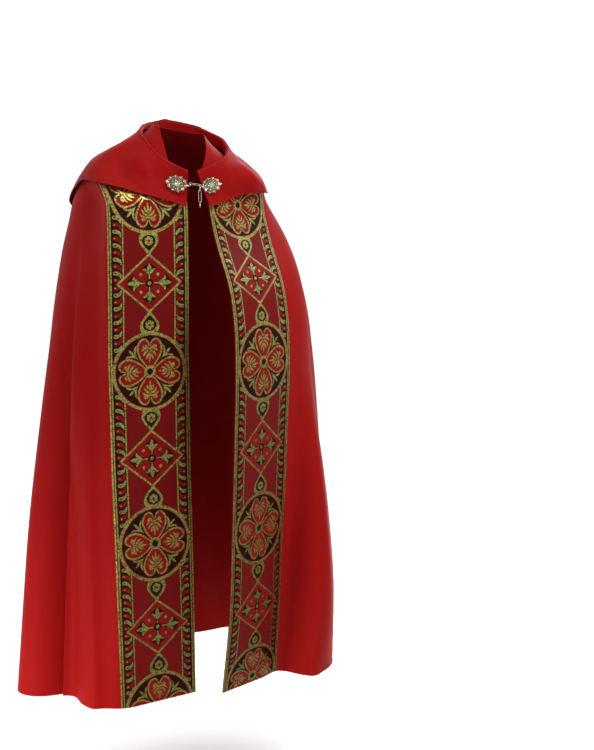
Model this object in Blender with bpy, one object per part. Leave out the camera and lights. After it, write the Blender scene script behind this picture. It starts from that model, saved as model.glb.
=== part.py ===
"""A cope: a long open cape of plain red cloth with two woven front bands, a rolled hood with a band of
its own, and a clasp of two bosses joined by a short chain.

The cloth keeps the hollow form that it has when worn. Metres, +Z up. The wearer faces -Y, and +X is the
wearer's left. The origin is between the shoulders at the base of the neck, where the wearer carries it.
Lengths in the tables are centimetres, and angles are degrees.
"""

import math
from collections import namedtuple

import bpy
import numpy as np
from mathutils import Matrix, Vector

CM = 0.01
Z_AXIS = Vector((0.0, 0.0, 1.0))

# Driving sizes, in metres.
CLOTH = 0.0020
BAND_CLOTH = 0.0012
SEAM_GAP = 0.0004
BAND_WIDTH = 0.195
BAND_TOP_Z = -0.048
HOOD_EDGE_GAP = 0.0095
HOOD_ROLL_RADIUS = 0.005
HOOD_LEG_LENGTH = 0.030
HOOD_LEG_LEAST = 0.0016
WIRE = 0.0013
LINK_GAP = 0.0004
HOOD_FOOT_GAP = 0.0085

# Numbers of cells in the cloth.
BAND_CELLS = 5
PANEL_CELLS = 62
RING_SAMPLES = 480
HOOD_BAND_CELLS = 3
HOOD_SIDE_CELLS = 12
HOOD_ROWS = 9

# The cape's rings: oval sections at one height, from the neckline to the hem. The oval's centre lies
# centre_y behind the origin. edge_right and edge_left are where the open fronts end, square is how
# boxy the oval is, and tilt lowers the wearer's left side of the ring.
Section = namedtuple(
    "Section", "z centre_y right left front_right front_left back edge_right edge_left square tilt"
)
SECTIONS = (
    Section(4.9, -4.6, 5.9, 5.7, 5.4, 5.4, 5.6, -5.75, 5.5, 2.0, -0.19),
    Section(3.2, -4.1, 7.3, 7.2, 6.0, 6.0, 7.2, -5.8, 5.1, 2.0, -0.17),
    Section(1.2, -3.3, 10.0, 9.8, 7.6, 7.6, 8.6, -5.7, 4.7, 2.0, -0.14),
    Section(-1.2, -2.3, 14.0, 13.6, 9.9, 9.7, 10.6, -5.7, 3.8, 2.0, -0.10),
    Section(-3.6, -1.4, 18.2, 17.2, 11.8, 11.5, 12.3, -5.2, 2.7, 2.1, -0.07),
    Section(-6.0, -0.8, 21.2, 20.2, 13.1, 12.7, 13.7, -3.8, 2.0, 2.1, -0.05),
    Section(-8.6, -0.4, 23.0, 22.2, 14.0, 13.6, 14.8, -3.0, 2.2, 2.2, -0.03),
    Section(-12.0, 0.0, 24.1, 24.0, 15.0, 14.6, 15.9, -2.8, 3.6, 2.2, 0.0),
    Section(-16.0, 0.0, 25.0, 26.0, 16.0, 16.8, 16.6, -2.7, 4.3, 2.2, 0.0),
    Section(-21.5, 0.0, 26.4, 28.2, 17.0, 21.4, 17.4, -2.7, 4.2, 2.2, 0.0),
    Section(-29.3, 0.0, 28.0, 30.4, 17.7, 28.0, 18.2, -2.7, 3.9, 2.1, 0.0),
    Section(-38.0, 0.0, 29.6, 32.0, 18.1, 33.0, 18.9, -2.7, 2.8, 2.0, 0.0),
    Section(-47.6, 0.0, 31.0, 33.2, 18.3, 34.6, 19.6, -2.6, 2.2, 1.9, 0.0),
    Section(-67.0, 0.0, 33.0, 34.9, 18.5, 32.8, 20.8, -2.3, 2.5, 1.9, 0.0),
    Section(-87.0, 0.0, 34.8, 36.4, 18.5, 30.2, 22.0, -1.8, 3.6, 1.9, 0.0),
    Section(-107.0, 0.0, 36.2, 38.4, 18.4, 27.6, 23.2, -1.4, 4.2, 1.9, 0.0),
    Section(-128.0, 0.0, 38.0, 40.4, 18.0, 21.5, 24.4, -1.2, 5.2, 2.1, 0.0),
)

# The front bands hang nearly flat: where the inner edge of each lies at a height, and how far the band
# turns from straight across, more than 0 where its outer edge comes forward.
Front = namedtuple("Front", "z right_x right_y right_turn left_x left_y left_turn")
FRONTS = (
    Front(-6.0, -3.4, -13.4, -3.0, 1.5, -13.9, -16.0),
    Front(-12.0, -2.2, -15.1, 4.0, 3.1, -14.9, -25.0),
    Front(-21.5, -2.5, -16.3, 5.0, 2.8, -20.8, -27.0),
    Front(-29.3, -2.7, -16.9, 5.0, 2.8, -27.2, -28.0),
    Front(-38.0, -2.9, -17.2, 5.0, 2.1, -32.4, -28.0),
    Front(-47.6, -3.1, -17.4, 5.0, 1.5, -34.6, -28.0),
    Front(-67.0, -3.1, -17.6, 6.0, 1.7, -33.0, -29.0),
    Front(-87.0, -2.8, -17.6, 7.0, 2.3, -30.0, -29.0),
    Front(-107.0, -2.5, -17.4, 8.0, 2.6, -27.2, -27.0),
    Front(-128.0, -2.2, -17.0, 9.0, 3.4, -20.4, -22.0),
)
FRONT_BLEND_Z = (-3.0, -12.0)
FRONT_CORNER_ANGLE = 15.0
FRONT_SOFTNESS = 0.030

# The cape's largest folds. hem_place and top_place are how far round the cloth between the two bands
# the fold lies at the hem and where it starts, from 0 at the right band to 1 at the left band. out is
# how far it stands out at the hem, less than 0 for a hollow, and lean pushes its crest sideways.
Fold = namedtuple("Fold", "name hem_place top_place start_z width out lean")
FOLDS = (
    Fold("right front crest", 0.056, 0.060, -9.0, 5.5, 3.4, -0.4),
    Fold("right front hollow", 0.108, 0.120, -9.0, 5.0, -5.0, -0.4),
    Fold("right side crest", 0.190, 0.190, -40.0, 8.0, 2.6, 0.0),
    Fold("right side hollow", 0.255, 0.240, -50.0, 6.5, -2.0, 0.2),
    Fold("right back hollow", 0.335, 0.320, -34.0, 6.5, -3.0, 0.4),
    Fold("right back crest", 0.400, 0.380, -30.0, 7.5, 4.6, -0.6),
    Fold("back hollow, right", 0.475, 0.470, -50.0, 8.0, -1.4, 0.0),
    Fold("back middle crest", 0.530, 0.525, -64.0, 6.5, 1.2, 0.0),
    Fold("back hollow, left", 0.580, 0.575, -55.0, 6.0, -1.6, 0.0),
    Fold("left back crest", 0.640, 0.635, -42.0, 7.5, 2.4, 0.2),
    Fold("left blade crest", 0.735, 0.735, -13.0, 6.0, 2.8, 0.7),
    Fold("left back hollow", 0.785, 0.790, -11.0, 5.0, -4.0, 0.5),
    Fold("left side crest", 0.840, 0.850, -30.0, 7.0, 2.0, 0.0),
    Fold("left side hollow", 0.885, 0.880, -60.0, 6.0, -1.8, 0.0),
    Fold("left front crest", 0.940, 0.930, -50.0, 7.0, 8.2, 0.4),
    Fold("left front hollow", 0.992, 0.985, -70.0, 4.5, -2.2, 0.0),
)

# The rows of cloth, closer together over the shoulders.
ROW_HEIGHTS = (
    4.9, 4.1, 3.2, 2.2, 1.2, 0.0, -1.2, -2.4, -3.6, -4.8, -6.0, -7.3, -8.6, -10.3, -12.0, -14.0, -16.5,
    -20.0, -25.0, -31.0, -38.0, -45.0, -52.0, -60.0, -68.0, -76.0, -85.0, -94.0, -103.0, -111.0,
    -119.0, -128.0,
)  # fmt: skip

# The hood, from a front corner to the centre back: where its roll lies and how far the roll stands
# out from the cape, and where its lower edge lies.
HoodStation = namedtuple("HoodStation", "roll_angle roll_z roll_gap edge_angle edge_z")
HOOD_RIGHT = (
    HoodStation(-7.1, -5.1, 1.2, -9.4, -12.9),
    HoodStation(-29.3, -2.6, 1.4, -35.5, -10.2),
    HoodStation(-46.5, 0.0, 1.55, -62.0, -7.3),
    HoodStation(-65.0, 2.4, 1.9, -82.0, -6.8),
    HoodStation(-100.0, 4.6, 2.2, -102.0, -10.8),
    HoodStation(-137.0, 5.7, 3.0, -124.0, -15.4),
    HoodStation(-162.0, 6.2, 3.9, -151.6, -20.0),
    HoodStation(-180.0, 6.8, 4.5, -180.0, -24.8),
)
HOOD_LEFT = (
    HoodStation(2.6, -5.2, 1.3, 11.0, -12.9),
    HoodStation(26.8, -3.4, 1.6, 33.0, -11.6),
    HoodStation(55.0, -1.4, 1.7, 57.0, -10.1),
    HoodStation(85.5, 0.9, 4.2, 79.0, -10.2),
    HoodStation(108.0, 2.8, 6.4, 100.0, -10.9),
    HoodStation(133.5, 4.9, 6.6, 122.0, -14.6),
    HoodStation(152.0, 5.9, 5.7, 147.0, -19.7),
    HoodStation(180.0, 6.8, 4.5, 180.0, -24.8),
)

# The clasp. Each boss is a cast leaf rosette, longer than high, with a pointed outer end.
BOSS_WIDTH = 0.049
BOSS_HEIGHT = 0.039
BOSS_PETALS = 10
BOSS_SEGMENTS = 40
BOSS_ROUND = 0.93
BOSS_LOBE = 0.055
BOSS_OUTER_TIP = 0.14
BOSS_INNER_TIP = 0.12
Boss = namedtuple("Boss", "name x z turn side")
BOSSES = (
    Boss("clasp_boss_right", -0.0490, -0.0765, -13.0, -1.0),
    Boss("clasp_boss_left", 0.0365, -0.0810, 7.0, 1.0),
)
# How the boss's relief steps in from its rim: part of the rim's radius, and height over the back.
BossStep = namedtuple("BossStep", "reach height")
BOSS_STEPS = (
    BossStep(1.00, 0.0000),
    BossStep(1.00, 0.0014),
    BossStep(0.82, 0.0026),
    BossStep(0.62, 0.0022),
    BossStep(0.46, 0.0036),
    BossStep(0.24, 0.0046),
)

# Links of the chain between the bosses, from the right one to the left one, and of its tail, from the
# ring down. Every other link lies edge on.
Link = namedtuple("Link", "name length width")
CHAIN = (
    Link("chain_link_right", 0.0135, 0.0052),
    Link("chain_link_middle", 0.0075, 0.0048),
    Link("chain_link_left", 0.0120, 0.0052),
    Link("chain_ring", 0.0076, 0.0076),
)
TAIL = (
    Link("tail_link", 0.0165, 0.0050),
    Link("tail_oval", 0.0280, 0.0090),
)
DROP_LENGTH = 0.0150
DROP_WIDTH = 0.0048


def remove_everything():
    for obj in list(bpy.data.objects):
        bpy.data.objects.remove(obj, do_unlink=True)


def material(name, color, roughness, metallic=0.0):
    made = bpy.data.materials.new(name)
    made.use_nodes = True
    shader = made.node_tree.nodes["Principled BSDF"]
    shader.inputs["Base Color"].default_value = (*color, 1.0)
    shader.inputs["Roughness"].default_value = roughness
    shader.inputs["Metallic"].default_value = metallic
    return made


def smooth_step(t):
    t = np.clip(t, 0.0, 1.0)
    return t * t * (3.0 - 2.0 * t)


def smooth_through(places, values, wanted):
    """Values between a table's rows: a cubic through them that never overshoots a row."""
    places = np.asarray(places, float)
    values = np.asarray(values, float)
    steps = np.diff(places)
    slopes = np.diff(values) / steps
    tangents = np.concatenate([slopes[:1], 0.5 * (slopes[1:] + slopes[:-1]), slopes[-1:]])
    turning = slopes[1:] * slopes[:-1] <= 0.0
    tangents[1:-1][turning] = 0.0
    for i, slope in enumerate(slopes):
        limit = 3.0 * abs(slope)
        tangents[i] = np.clip(tangents[i], -limit, limit)
        tangents[i + 1] = np.clip(tangents[i + 1], -limit, limit)
    wanted = np.clip(wanted, places[0], places[-1])
    i = np.clip(np.searchsorted(places, wanted, side="right") - 1, 0, len(steps) - 1)
    t = (wanted - places[i]) / steps[i]
    return (
        values[i] * (1 + 2 * t) * (1 - t) ** 2
        + tangents[i] * steps[i] * t * (1 - t) ** 2
        + values[i + 1] * t * t * (3 - 2 * t)
        + tangents[i + 1] * steps[i] * t * t * (t - 1)
    )


def table_row(table, z):
    """A row of a table by height, at the height z in centimetres."""
    rows = table[::-1]
    heights = [row.z for row in rows]
    return type(table[0])(*(float(smooth_through(heights, column, z)) for column in zip(*rows)))


def section_at(z):
    """The cape's ring at the height z in centimetres."""
    return table_row(SECTIONS, z)


def ring_radius(ring, angle):
    """The oval's radius at an angle in degrees from straight ahead, more than 0 on the wearer's left."""
    turn = np.radians(angle)
    side = np.where(np.sin(turn) > 0, ring.left, ring.right)
    ahead = np.where(np.sin(turn) > 0, ring.front_left, ring.front_right)
    depth = np.where(np.cos(turn) > 0, ahead, ring.back)
    across = np.abs(np.sin(turn) / side) ** ring.square
    along = np.abs(np.cos(turn) / depth) ** ring.square
    return (across + along) ** (-1.0 / ring.square)


def ring_points(ring, angle):
    """Points on the ring, in metres."""
    turn = np.radians(angle)
    radius = ring_radius(ring, angle)
    x = radius * np.sin(turn)
    y = ring.centre_y - radius * np.cos(turn)
    return np.stack([x, y, ring.z + ring.tilt * x], axis=-1) * CM


def edge_angle(ring, edge_x, side):
    """The angle at which the ring reaches the front edge's place."""
    angles = np.linspace(0.0, 90.0, 181) * side
    return float(np.interp(abs(edge_x), np.abs(ring_points(ring, angles)[:, 0]) / CM, np.abs(angles))) * side


def along_line(points, distances):
    steps = np.linalg.norm(np.diff(points, axis=0), axis=1)
    reach = np.concatenate([[0.0], np.cumsum(steps)])
    return np.stack([np.interp(distances, reach, points[:, k]) for k in range(3)], axis=-1), reach[-1]


def fronted_ring(ring):
    """The ring with its two fronts drawn flat, each as wide as a front band."""
    front = table_row(FRONTS, ring.z)
    ends = []
    for side, x, y, turn in (
        (-1.0, front.right_x, front.right_y, front.right_turn),
        (1.0, front.left_x, front.left_y, front.left_turn),
    ):
        lean = math.radians(turn)
        inner = np.array([x * CM, y * CM, (ring.z + ring.tilt * x) * CM])
        across = np.array([side * math.cos(lean), -math.sin(lean), side * ring.tilt])
        ends.append(inner + across * BAND_WIDTH * np.linspace(0.0, 1.0, 40)[:, None])
    right, left = ends
    first, last = (
        math.degrees(math.atan2(corner[0], ring.centre_y * CM - corner[1])) for corner in (right[-1], left[-1])
    )
    angles = np.linspace(first - FRONT_CORNER_ANGLE, last + FRONT_CORNER_ANGLE - 360.0, RING_SAMPLES)
    line = np.concatenate([right, ring_points(ring, angles), left[::-1]])
    return soften(line, FRONT_SOFTNESS)


def soften(line, reach):
    """The line with its corners rounded over a reach, evenly spaced, its two ends kept."""
    length = along_line(line, [0.0])[1]
    places = np.linspace(0.0, length, RING_SAMPLES)
    room = np.minimum(reach, np.minimum(places, length - places))
    return np.mean([along_line(line, places + room * step)[0] for step in np.linspace(-1.0, 1.0, 9)], axis=0)


def ring_line(z):
    """The cape's ring from the right front edge round the back to the left front edge, without folds."""
    ring = section_at(z)
    first = edge_angle(ring, ring.edge_right, -1.0)
    last = edge_angle(ring, ring.edge_left, 1.0)
    angles = np.linspace(first, last - 360.0, RING_SAMPLES)
    line = ring_points(ring, angles)
    flat = smooth_step((FRONT_BLEND_Z[0] - z) / (FRONT_BLEND_Z[0] - FRONT_BLEND_Z[1]))
    if flat > 0.0:
        line += flat * (fronted_ring(ring) - line)
    return line


def cape_row(z):
    """One row of the cape's cloth, with its folds. Each front band has its own cells at an end."""
    line = ring_line(z)
    length = along_line(line, [0.0])[1]
    band = min(BAND_WIDTH, 0.22 * length)
    places = np.concatenate(
        [
            np.linspace(0.0, band, BAND_CELLS + 1),
            np.linspace(band, length - band, PANEL_CELLS + 1)[1:-1],
            np.linspace(length - band, length, BAND_CELLS + 1),
        ]
    )
    panel = length - 2.0 * band
    row = along_line(line, places)[0]
    ahead = along_line(line, places + 0.004)[0] - along_line(line, places - 0.004)[0]
    ahead /= np.linalg.norm(ahead, axis=1)[:, None]
    outward = np.stack([-ahead[:, 1], ahead[:, 0], np.zeros(len(places))], axis=-1)
    for fold in FOLDS:
        grown = (fold.start_z - z) / (fold.start_z - SECTIONS[-1].z)
        if grown <= 0.0:
            continue
        place = fold.top_place + (fold.hem_place - fold.top_place) * grown
        width = fold.width * CM * (0.55 + 0.45 * grown)
        across = (places - band - place * panel) / width
        shape = np.exp(-across * across) * smooth_step(grown * 1.15) ** 0.8 * fold.out * CM
        row += outward * shape[:, None] + ahead * (fold.lean * np.abs(shape))[:, None]
    return row


def cape_grid():
    return np.stack([cape_row(z) for z in ROW_HEIGHTS])


def grid_normals(grid):
    down = np.gradient(grid, axis=0)
    across = np.gradient(grid, axis=1)
    normals = np.cross(across, down)
    return normals / np.linalg.norm(normals, axis=-1)[..., None]


def cloth_panel(name, grid, thickness, finish):
    """A wall of cloth whose outer face is the grid and whose thickness goes inwards."""
    rows, columns = grid.shape[:2]
    points = [tuple(point) for point in grid.reshape(-1, 3)]
    faces = []
    for i in range(rows - 1):
        for j in range(columns - 1):
            corner = i * columns + j
            faces.append((corner, corner + 1, corner + columns + 1, corner + columns))
    mesh = bpy.data.meshes.new(name)
    mesh.from_pydata(points, [], faces)
    mesh.materials.append(finish)
    mesh.shade_smooth()
    panel = bpy.data.objects.new(name, mesh)
    bpy.context.scene.collection.objects.link(panel)
    wall = panel.modifiers.new("wall", "SOLIDIFY")
    wall.thickness = thickness
    wall.offset = -1.0
    return panel


def make_front_band(name, grid, columns, finish):
    """A woven band laid on the cape's front edge: the cape's own points, moved out."""
    rows = [i for i, z in enumerate(ROW_HEIGHTS) if z * CM <= BAND_TOP_Z]
    moved = grid + grid_normals(grid) * (SEAM_GAP + BAND_CLOTH)
    return cloth_panel(name, moved[rows][:, columns], BAND_CLOTH, finish)


def cape_radii():
    """The cape's distance from its ring centres: a row per height and a column per degree of turn."""
    turns = np.arange(0.0, 361.0)
    table = []
    for z in ROW_HEIGHTS:
        line = ring_line(z)[::-1]
        x = line[:, 0]
        y = line[:, 1] - section_at(z).centre_y * CM
        turn = np.unwrap(np.arctan2(x, -y))
        table.append(np.interp(turns, np.degrees(turn), np.hypot(x, y)))
    return np.stack(table)


def cape_radius(radii, z, angle):
    """The cape's distance from its ring centre at the height z in centimetres."""
    heights = np.array(ROW_HEIGHTS[::-1])
    row = np.interp(z, heights, np.arange(len(heights))[::-1].astype(float))
    first = min(int(row), len(heights) - 2)
    pair = [np.interp(angle % 360.0, np.arange(0.0, 361.0), radii[k]) for k in (first, first + 1)]
    return pair[0] + (pair[1] - pair[0]) * (row - first)


def cape_level(radii, x, y):
    """How high the plain cape is over a place near the neck, in metres."""
    high = SECTIONS[0].z
    low = -20.0
    for _ in range(24):
        z = 0.5 * (high + low)
        back = y - section_at(z).centre_y * CM
        if cape_radius(radii, z, math.degrees(math.atan2(x, -back))) < math.hypot(x, back):
            high = z
        else:
            low = z
    return high * CM + section_at(high).tilt * x


def hood_station(side, part):
    """The hood's station at a part of the way from a front corner to the centre back."""
    table = HOOD_RIGHT if side < 0 else HOOD_LEFT
    places = np.linspace(0.0, 1.0, len(table))
    return HoodStation(
        *(
            float(smooth_through(places, [getattr(row, field) for row in table], part))
            for field in HoodStation._fields
        )
    )


def hood_profile(radii, side, part):
    """Points of the hood from its inner foot up, over the roll and down to its lower edge, one a row."""
    station = hood_station(side, part)
    profile = []
    for t in np.linspace(0.0, 1.0, HOOD_ROWS):
        level = station.edge_z + (station.roll_z - station.edge_z) * t
        angle = station.edge_angle + (station.roll_angle - station.edge_angle) * t
        turn = math.radians(angle)
        ring = section_at(min(level, SECTIONS[0].z))
        # The ring that passes through this level on this side, once its tilt is taken off.
        reach = float(cape_radius(radii, ring.z, angle)) * math.sin(turn) / CM
        ring = section_at(min(level - ring.tilt * reach, SECTIONS[0].z))
        spread = cape_radius(radii, ring.z - 1.0, angle) - cape_radius(radii, ring.z + 1.0, angle)
        gap = HOOD_EDGE_GAP * math.hypot(1.0, 0.5 * spread / CM)
        gap += max(0.0, station.roll_gap * CM - gap) * t**2.2
        out = float(cape_radius(radii, ring.z, angle)) + gap
        y = ring.centre_y * CM - out * math.cos(turn)
        profile.append(np.array([out * math.sin(turn), y, level * CM]))
    crest = profile[-1]
    inward = np.array([0.0, section_at(station.roll_z).centre_y * CM, crest[2]]) - crest
    inward /= np.linalg.norm(inward)
    up = np.array([0.0, 0.0, 1.0])
    roll = min(HOOD_ROLL_RADIUS, 0.30 * station.roll_gap * CM)
    for turn in (50.0, 100.0, 150.0, 185.0):
        over = math.radians(turn)
        profile.append(crest + inward * roll * (1.0 - math.cos(over)) + up * roll * math.sin(over))
    leg = profile[-1]
    foot = leg.copy()
    drop = HOOD_LEG_LENGTH * (0.2 + 0.8 * part)
    lowest = max(cape_level(radii, foot[0], foot[1]) + HOOD_FOOT_GAP, leg[2] - drop)
    foot[2] = min(lowest, leg[2] - HOOD_LEG_LEAST)
    profile += [leg + (foot - leg) * 0.5, foot]
    return np.stack(profile[::-1])


def hood_grid():
    """Rows along the hood, each from its right front corner round the back to its left one."""
    radii = cape_radii()
    parts = np.linspace(0.0, 1.0, 49)
    right = np.stack([hood_profile(radii, -1.0, part) for part in parts])
    left = np.stack([hood_profile(radii, 1.0, part) for part in parts])
    rows = []
    for k in range(right.shape[1]):
        halves = []
        for line in (right[::-1, k], left[::-1, k]):
            length = along_line(line, [0.0])[1]
            band = min(BAND_WIDTH * 0.5, 0.55 * length)
            places = np.concatenate(
                [
                    np.linspace(0.0, band, HOOD_BAND_CELLS + 1),
                    np.linspace(band, length, HOOD_SIDE_CELLS + 1)[1:],
                ]
            )
            halves.append(along_line(line, places)[0])
        rows.append(np.concatenate([halves[0][:0:-1], halves[1]]))
    return np.stack(rows)


def make_hood_band(name, grid, finish):
    """The band down the middle of the hood: the hood's own points, moved out."""
    middle = HOOD_BAND_CELLS + HOOD_SIDE_CELLS
    moved = grid + grid_normals(grid) * (SEAM_GAP + BAND_CLOTH)
    columns = slice(middle - HOOD_BAND_CELLS, middle + HOOD_BAND_CELLS + 1)
    return cloth_panel(name, moved[-HOOD_ROWS - 1 :, columns], BAND_CLOTH, finish)


def make_boss(boss, hood, finish):
    """A cast rosette lying on the hood's front corner, its relief facing out."""
    points = []
    for step in BOSS_STEPS:
        for k in range(BOSS_SEGMENTS):
            turn = 2.0 * math.pi * k / BOSS_SEGMENTS
            lobe = 1.0 + BOSS_LOBE * math.cos(BOSS_PETALS * turn)
            outer_tip = BOSS_OUTER_TIP * max(0.0, boss.side * math.cos(turn)) ** 9
            inner_tip = BOSS_INNER_TIP * max(0.0, -boss.side * math.cos(turn)) ** 15
            reach = step.reach * (BOSS_ROUND * lobe + outer_tip + inner_tip)
            x = 0.5 * BOSS_WIDTH * reach * math.cos(turn)
            z = 0.5 * BOSS_HEIGHT * reach * math.sin(turn)
            points.append((x, -step.height, z))
    count = len(BOSS_STEPS) * BOSS_SEGMENTS
    points += [(0.0, 0.0, 0.0), (0.0, -BOSS_STEPS[-1].height - 0.0004, 0.0)]
    faces = []
    for k in range(BOSS_SEGMENTS):
        after = (k + 1) % BOSS_SEGMENTS
        faces.append((count, after, k))
        for ring in range(len(BOSS_STEPS) - 1):
            low = ring * BOSS_SEGMENTS
            high = low + BOSS_SEGMENTS
            faces.append((low + k, low + after, high + after, high + k))
        top = count - BOSS_SEGMENTS
        faces.append((top + k, top + after, count + 1))
    mesh = bpy.data.meshes.new(boss.name)
    mesh.from_pydata(points, [], faces)
    mesh.materials.append(finish)
    mesh.shade_smooth()
    made = bpy.data.objects.new(boss.name, mesh)
    bpy.context.scene.collection.objects.link(made)
    made.location = (boss.x, hood_front_y(hood, boss), boss.z)
    made.rotation_euler = (0.0, 0.0, math.radians(boss.turn))
    return made


def hood_front_y(hood, boss):
    """Where a boss's back clears the hood: just outside the most forward of the points behind it."""
    outer = hood[-HOOD_ROWS:].reshape(-1, 3)
    turn = math.radians(boss.turn)
    near = (np.abs(outer[:, 0] - boss.x) < BOSS_WIDTH * 0.62) & (np.abs(outer[:, 2] - boss.z) < BOSS_HEIGHT * 0.62)
    lead = outer[near][:, 1] - (outer[near][:, 0] - boss.x) * math.tan(turn)
    return float(lead.min()) - SEAM_GAP


def boss_tip(made, boss):
    """The inner tip of a boss, where the chain is hooked on."""
    reach = BOSS_ROUND * (1.0 + BOSS_LOBE) + BOSS_INNER_TIP
    tip = Vector((-boss.side * 0.5 * BOSS_WIDTH * reach, -0.5 * BOSS_STEPS[2].height, 0.0))
    return Matrix.Rotation(math.radians(boss.turn), 3, "Z") @ tip + made.location


def make_link(link, centre, along, across, finish):
    """A chain link: a ring of wire whose two halves are drawn apart to its length."""
    bpy.ops.mesh.primitive_torus_add(
        major_segments=12,
        minor_segments=5,
        major_radius=0.5 * (link.width - WIRE),
        minor_radius=0.5 * WIRE,
    )
    made = bpy.context.active_object
    made.name = link.name
    made.data.name = link.name
    stretch = 0.5 * (link.length - link.width)
    for vertex in made.data.vertices:
        if abs(vertex.co.x) > 1e-6:
            vertex.co.x += math.copysign(stretch, vertex.co.x)
    made.data.materials.append(finish)
    made.data.shade_smooth()
    side = along.cross(across)
    made.matrix_world = Matrix.Translation(centre) @ Matrix((along, across, side)).transposed().to_4x4()
    return made


def pitch(link, after):
    """The distance between the centres of two links that hang in each other."""
    return 0.5 * (link.length + after.length) - 2.0 * WIRE - LINK_GAP


def make_chain(start, end, finish):
    """The links from boss to boss. It gives back where the tail hangs on the ring, and its turn."""
    along = (end - start).normalized()
    upright = (Z_AXIS - along * along.z).normalized()
    level = upright.cross(along)
    reach = sum(pitch(a, b) for a, b in zip(CHAIN, CHAIN[1:]))
    reach += 0.5 * (CHAIN[0].length + CHAIN[-1].length)
    centre = start + along * (0.5 * ((end - start).length - reach) + 0.5 * CHAIN[0].length)
    for i, link in enumerate(CHAIN):
        make_link(link, centre, along, level if i % 2 else upright, finish)
        if i + 1 < len(CHAIN):
            centre = centre + along * pitch(link, CHAIN[i + 1])
    hook = centre - level * math.copysign(0.5 * (CHAIN[-1].width - WIRE), level.y)
    return hook, level


def make_tail(hook, level, finish):
    """The tail's links and the drop at its end, hanging from the ring."""
    along = -Z_AXIS
    centre = hook + along * (0.5 * TAIL[0].length - 1.5 * WIRE - LINK_GAP)
    for i, link in enumerate(TAIL):
        make_link(link, centre, along, level.cross(Z_AXIS) if i % 2 else level, finish)
        if i + 1 < len(TAIL):
            centre = centre + along * pitch(link, TAIL[i + 1])
    eye = Link("tail_drop", 2.0 * DROP_WIDTH, DROP_WIDTH)
    centre = centre + along * pitch(TAIL[-1], eye)
    drop = make_link(eye, centre, along, level, finish)
    bead = make_bead(centre - Z_AXIS * (0.5 * eye.length - WIRE))
    union = drop.modifiers.new("bead", "BOOLEAN")
    union.operation = "UNION"
    union.object = bead


def make_bead(top):
    """The drop's slim bead, joined on below its eye."""
    bpy.ops.mesh.primitive_uv_sphere_add(segments=10, ring_count=8, radius=0.5)
    bead = bpy.context.active_object
    bead.name = "drop_bead"
    length = DROP_LENGTH - 2.0 * DROP_WIDTH + 2.0 * WIRE
    for vertex in bead.data.vertices:
        vertex.co.x *= DROP_WIDTH
        vertex.co.y *= DROP_WIDTH
        vertex.co.z = (vertex.co.z - 0.5) * length
    bead.location = top + Z_AXIS * WIRE
    bead.hide_render = True
    bead.display_type = "WIRE"
    return bead


def main():
    remove_everything()
    red_cloth = material("red cloth", (0.36, 0.008, 0.012), 0.75)
    woven_band = material("woven band", (0.30, 0.16, 0.03), 0.55)
    cast_metal = material("pale gilt metal", (0.62, 0.55, 0.38), 0.3, 1.0)

    cape = cape_grid()
    last = cape.shape[1]
    cloth_panel("cape", cape, CLOTH, red_cloth)
    make_front_band("front_band_right", cape, slice(0, BAND_CELLS + 1), woven_band)
    make_front_band("front_band_left", cape, slice(last - BAND_CELLS - 1, last), woven_band)

    hood = hood_grid()
    cloth_panel("hood", hood, CLOTH, red_cloth)
    make_hood_band("hood_band", hood, woven_band)

    tips = []
    for boss in BOSSES:
        made = make_boss(boss, hood, cast_metal)
        tips.append(boss_tip(made, boss))
    hook, level = make_chain(*tips, cast_metal)
    make_tail(hook, level, cast_metal)


main()
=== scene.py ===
"""Looks for a cope: a long open cape of plain red cloth with two woven front bands, a rolled hood with a
band of its own, and a cast clasp with a short chain.

Metres, +Z up. The wearer faces -Y, and +X is the wearer's left. Lengths in the tables of the cloth are
centimetres, and angles are degrees.
"""

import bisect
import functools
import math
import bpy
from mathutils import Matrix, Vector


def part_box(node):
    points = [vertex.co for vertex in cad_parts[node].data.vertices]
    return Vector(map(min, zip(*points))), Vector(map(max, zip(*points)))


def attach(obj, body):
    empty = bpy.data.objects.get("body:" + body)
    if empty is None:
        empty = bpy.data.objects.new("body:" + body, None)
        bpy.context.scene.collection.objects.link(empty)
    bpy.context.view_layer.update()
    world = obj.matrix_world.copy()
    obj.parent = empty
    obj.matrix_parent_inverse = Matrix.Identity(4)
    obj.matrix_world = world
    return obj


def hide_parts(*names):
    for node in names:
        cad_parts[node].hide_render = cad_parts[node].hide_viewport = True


bl_info = {
    "name": "Cope",
    "version": (1, 0, 0),
    "blender": (4, 5, 0),
    "location": "View3D > Sidebar > Cope",
    "description": "Makes the cloth, woven bands, stitching and clasp of a red cope",
    "category": "Add Mesh",
}

from collections import namedtuple

import bmesh
import bpy
import numpy as np
from mathutils import Matrix, Vector
from mathutils.geometry import delaunay_2d_cdt

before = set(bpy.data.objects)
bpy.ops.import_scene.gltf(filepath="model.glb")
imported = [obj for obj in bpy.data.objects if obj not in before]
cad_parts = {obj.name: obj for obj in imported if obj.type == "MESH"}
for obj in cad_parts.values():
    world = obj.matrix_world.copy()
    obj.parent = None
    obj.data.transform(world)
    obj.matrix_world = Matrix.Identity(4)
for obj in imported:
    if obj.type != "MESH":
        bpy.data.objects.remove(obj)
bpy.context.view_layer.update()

CM = 0.01
MM = 0.001


def table(columns, *rows):
    """A table with named columns."""
    row_type = namedtuple("Row", columns)
    return tuple(row_type(*row) for row in rows)


# ---------------------------------------------------------------------------------------------------
# The shape of the cloth: the same named sizes as the solids.

BAND_WIDTH = 0.195
BAND_SHARE = 0.22  # The most of a row's length that a band takes.
BAND_TOP_Z = -4.8
# A band presses the cape's cloth in under it by this much, up to the first part of the way across it,
# and less over the second.
BAND_PRESS = 0.0007
BAND_SEAM = (0.96, 0.03)
SEAM_GAP = 0.0004
RING_SAMPLES = 480
TANGENT_REACH = 0.004

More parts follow.
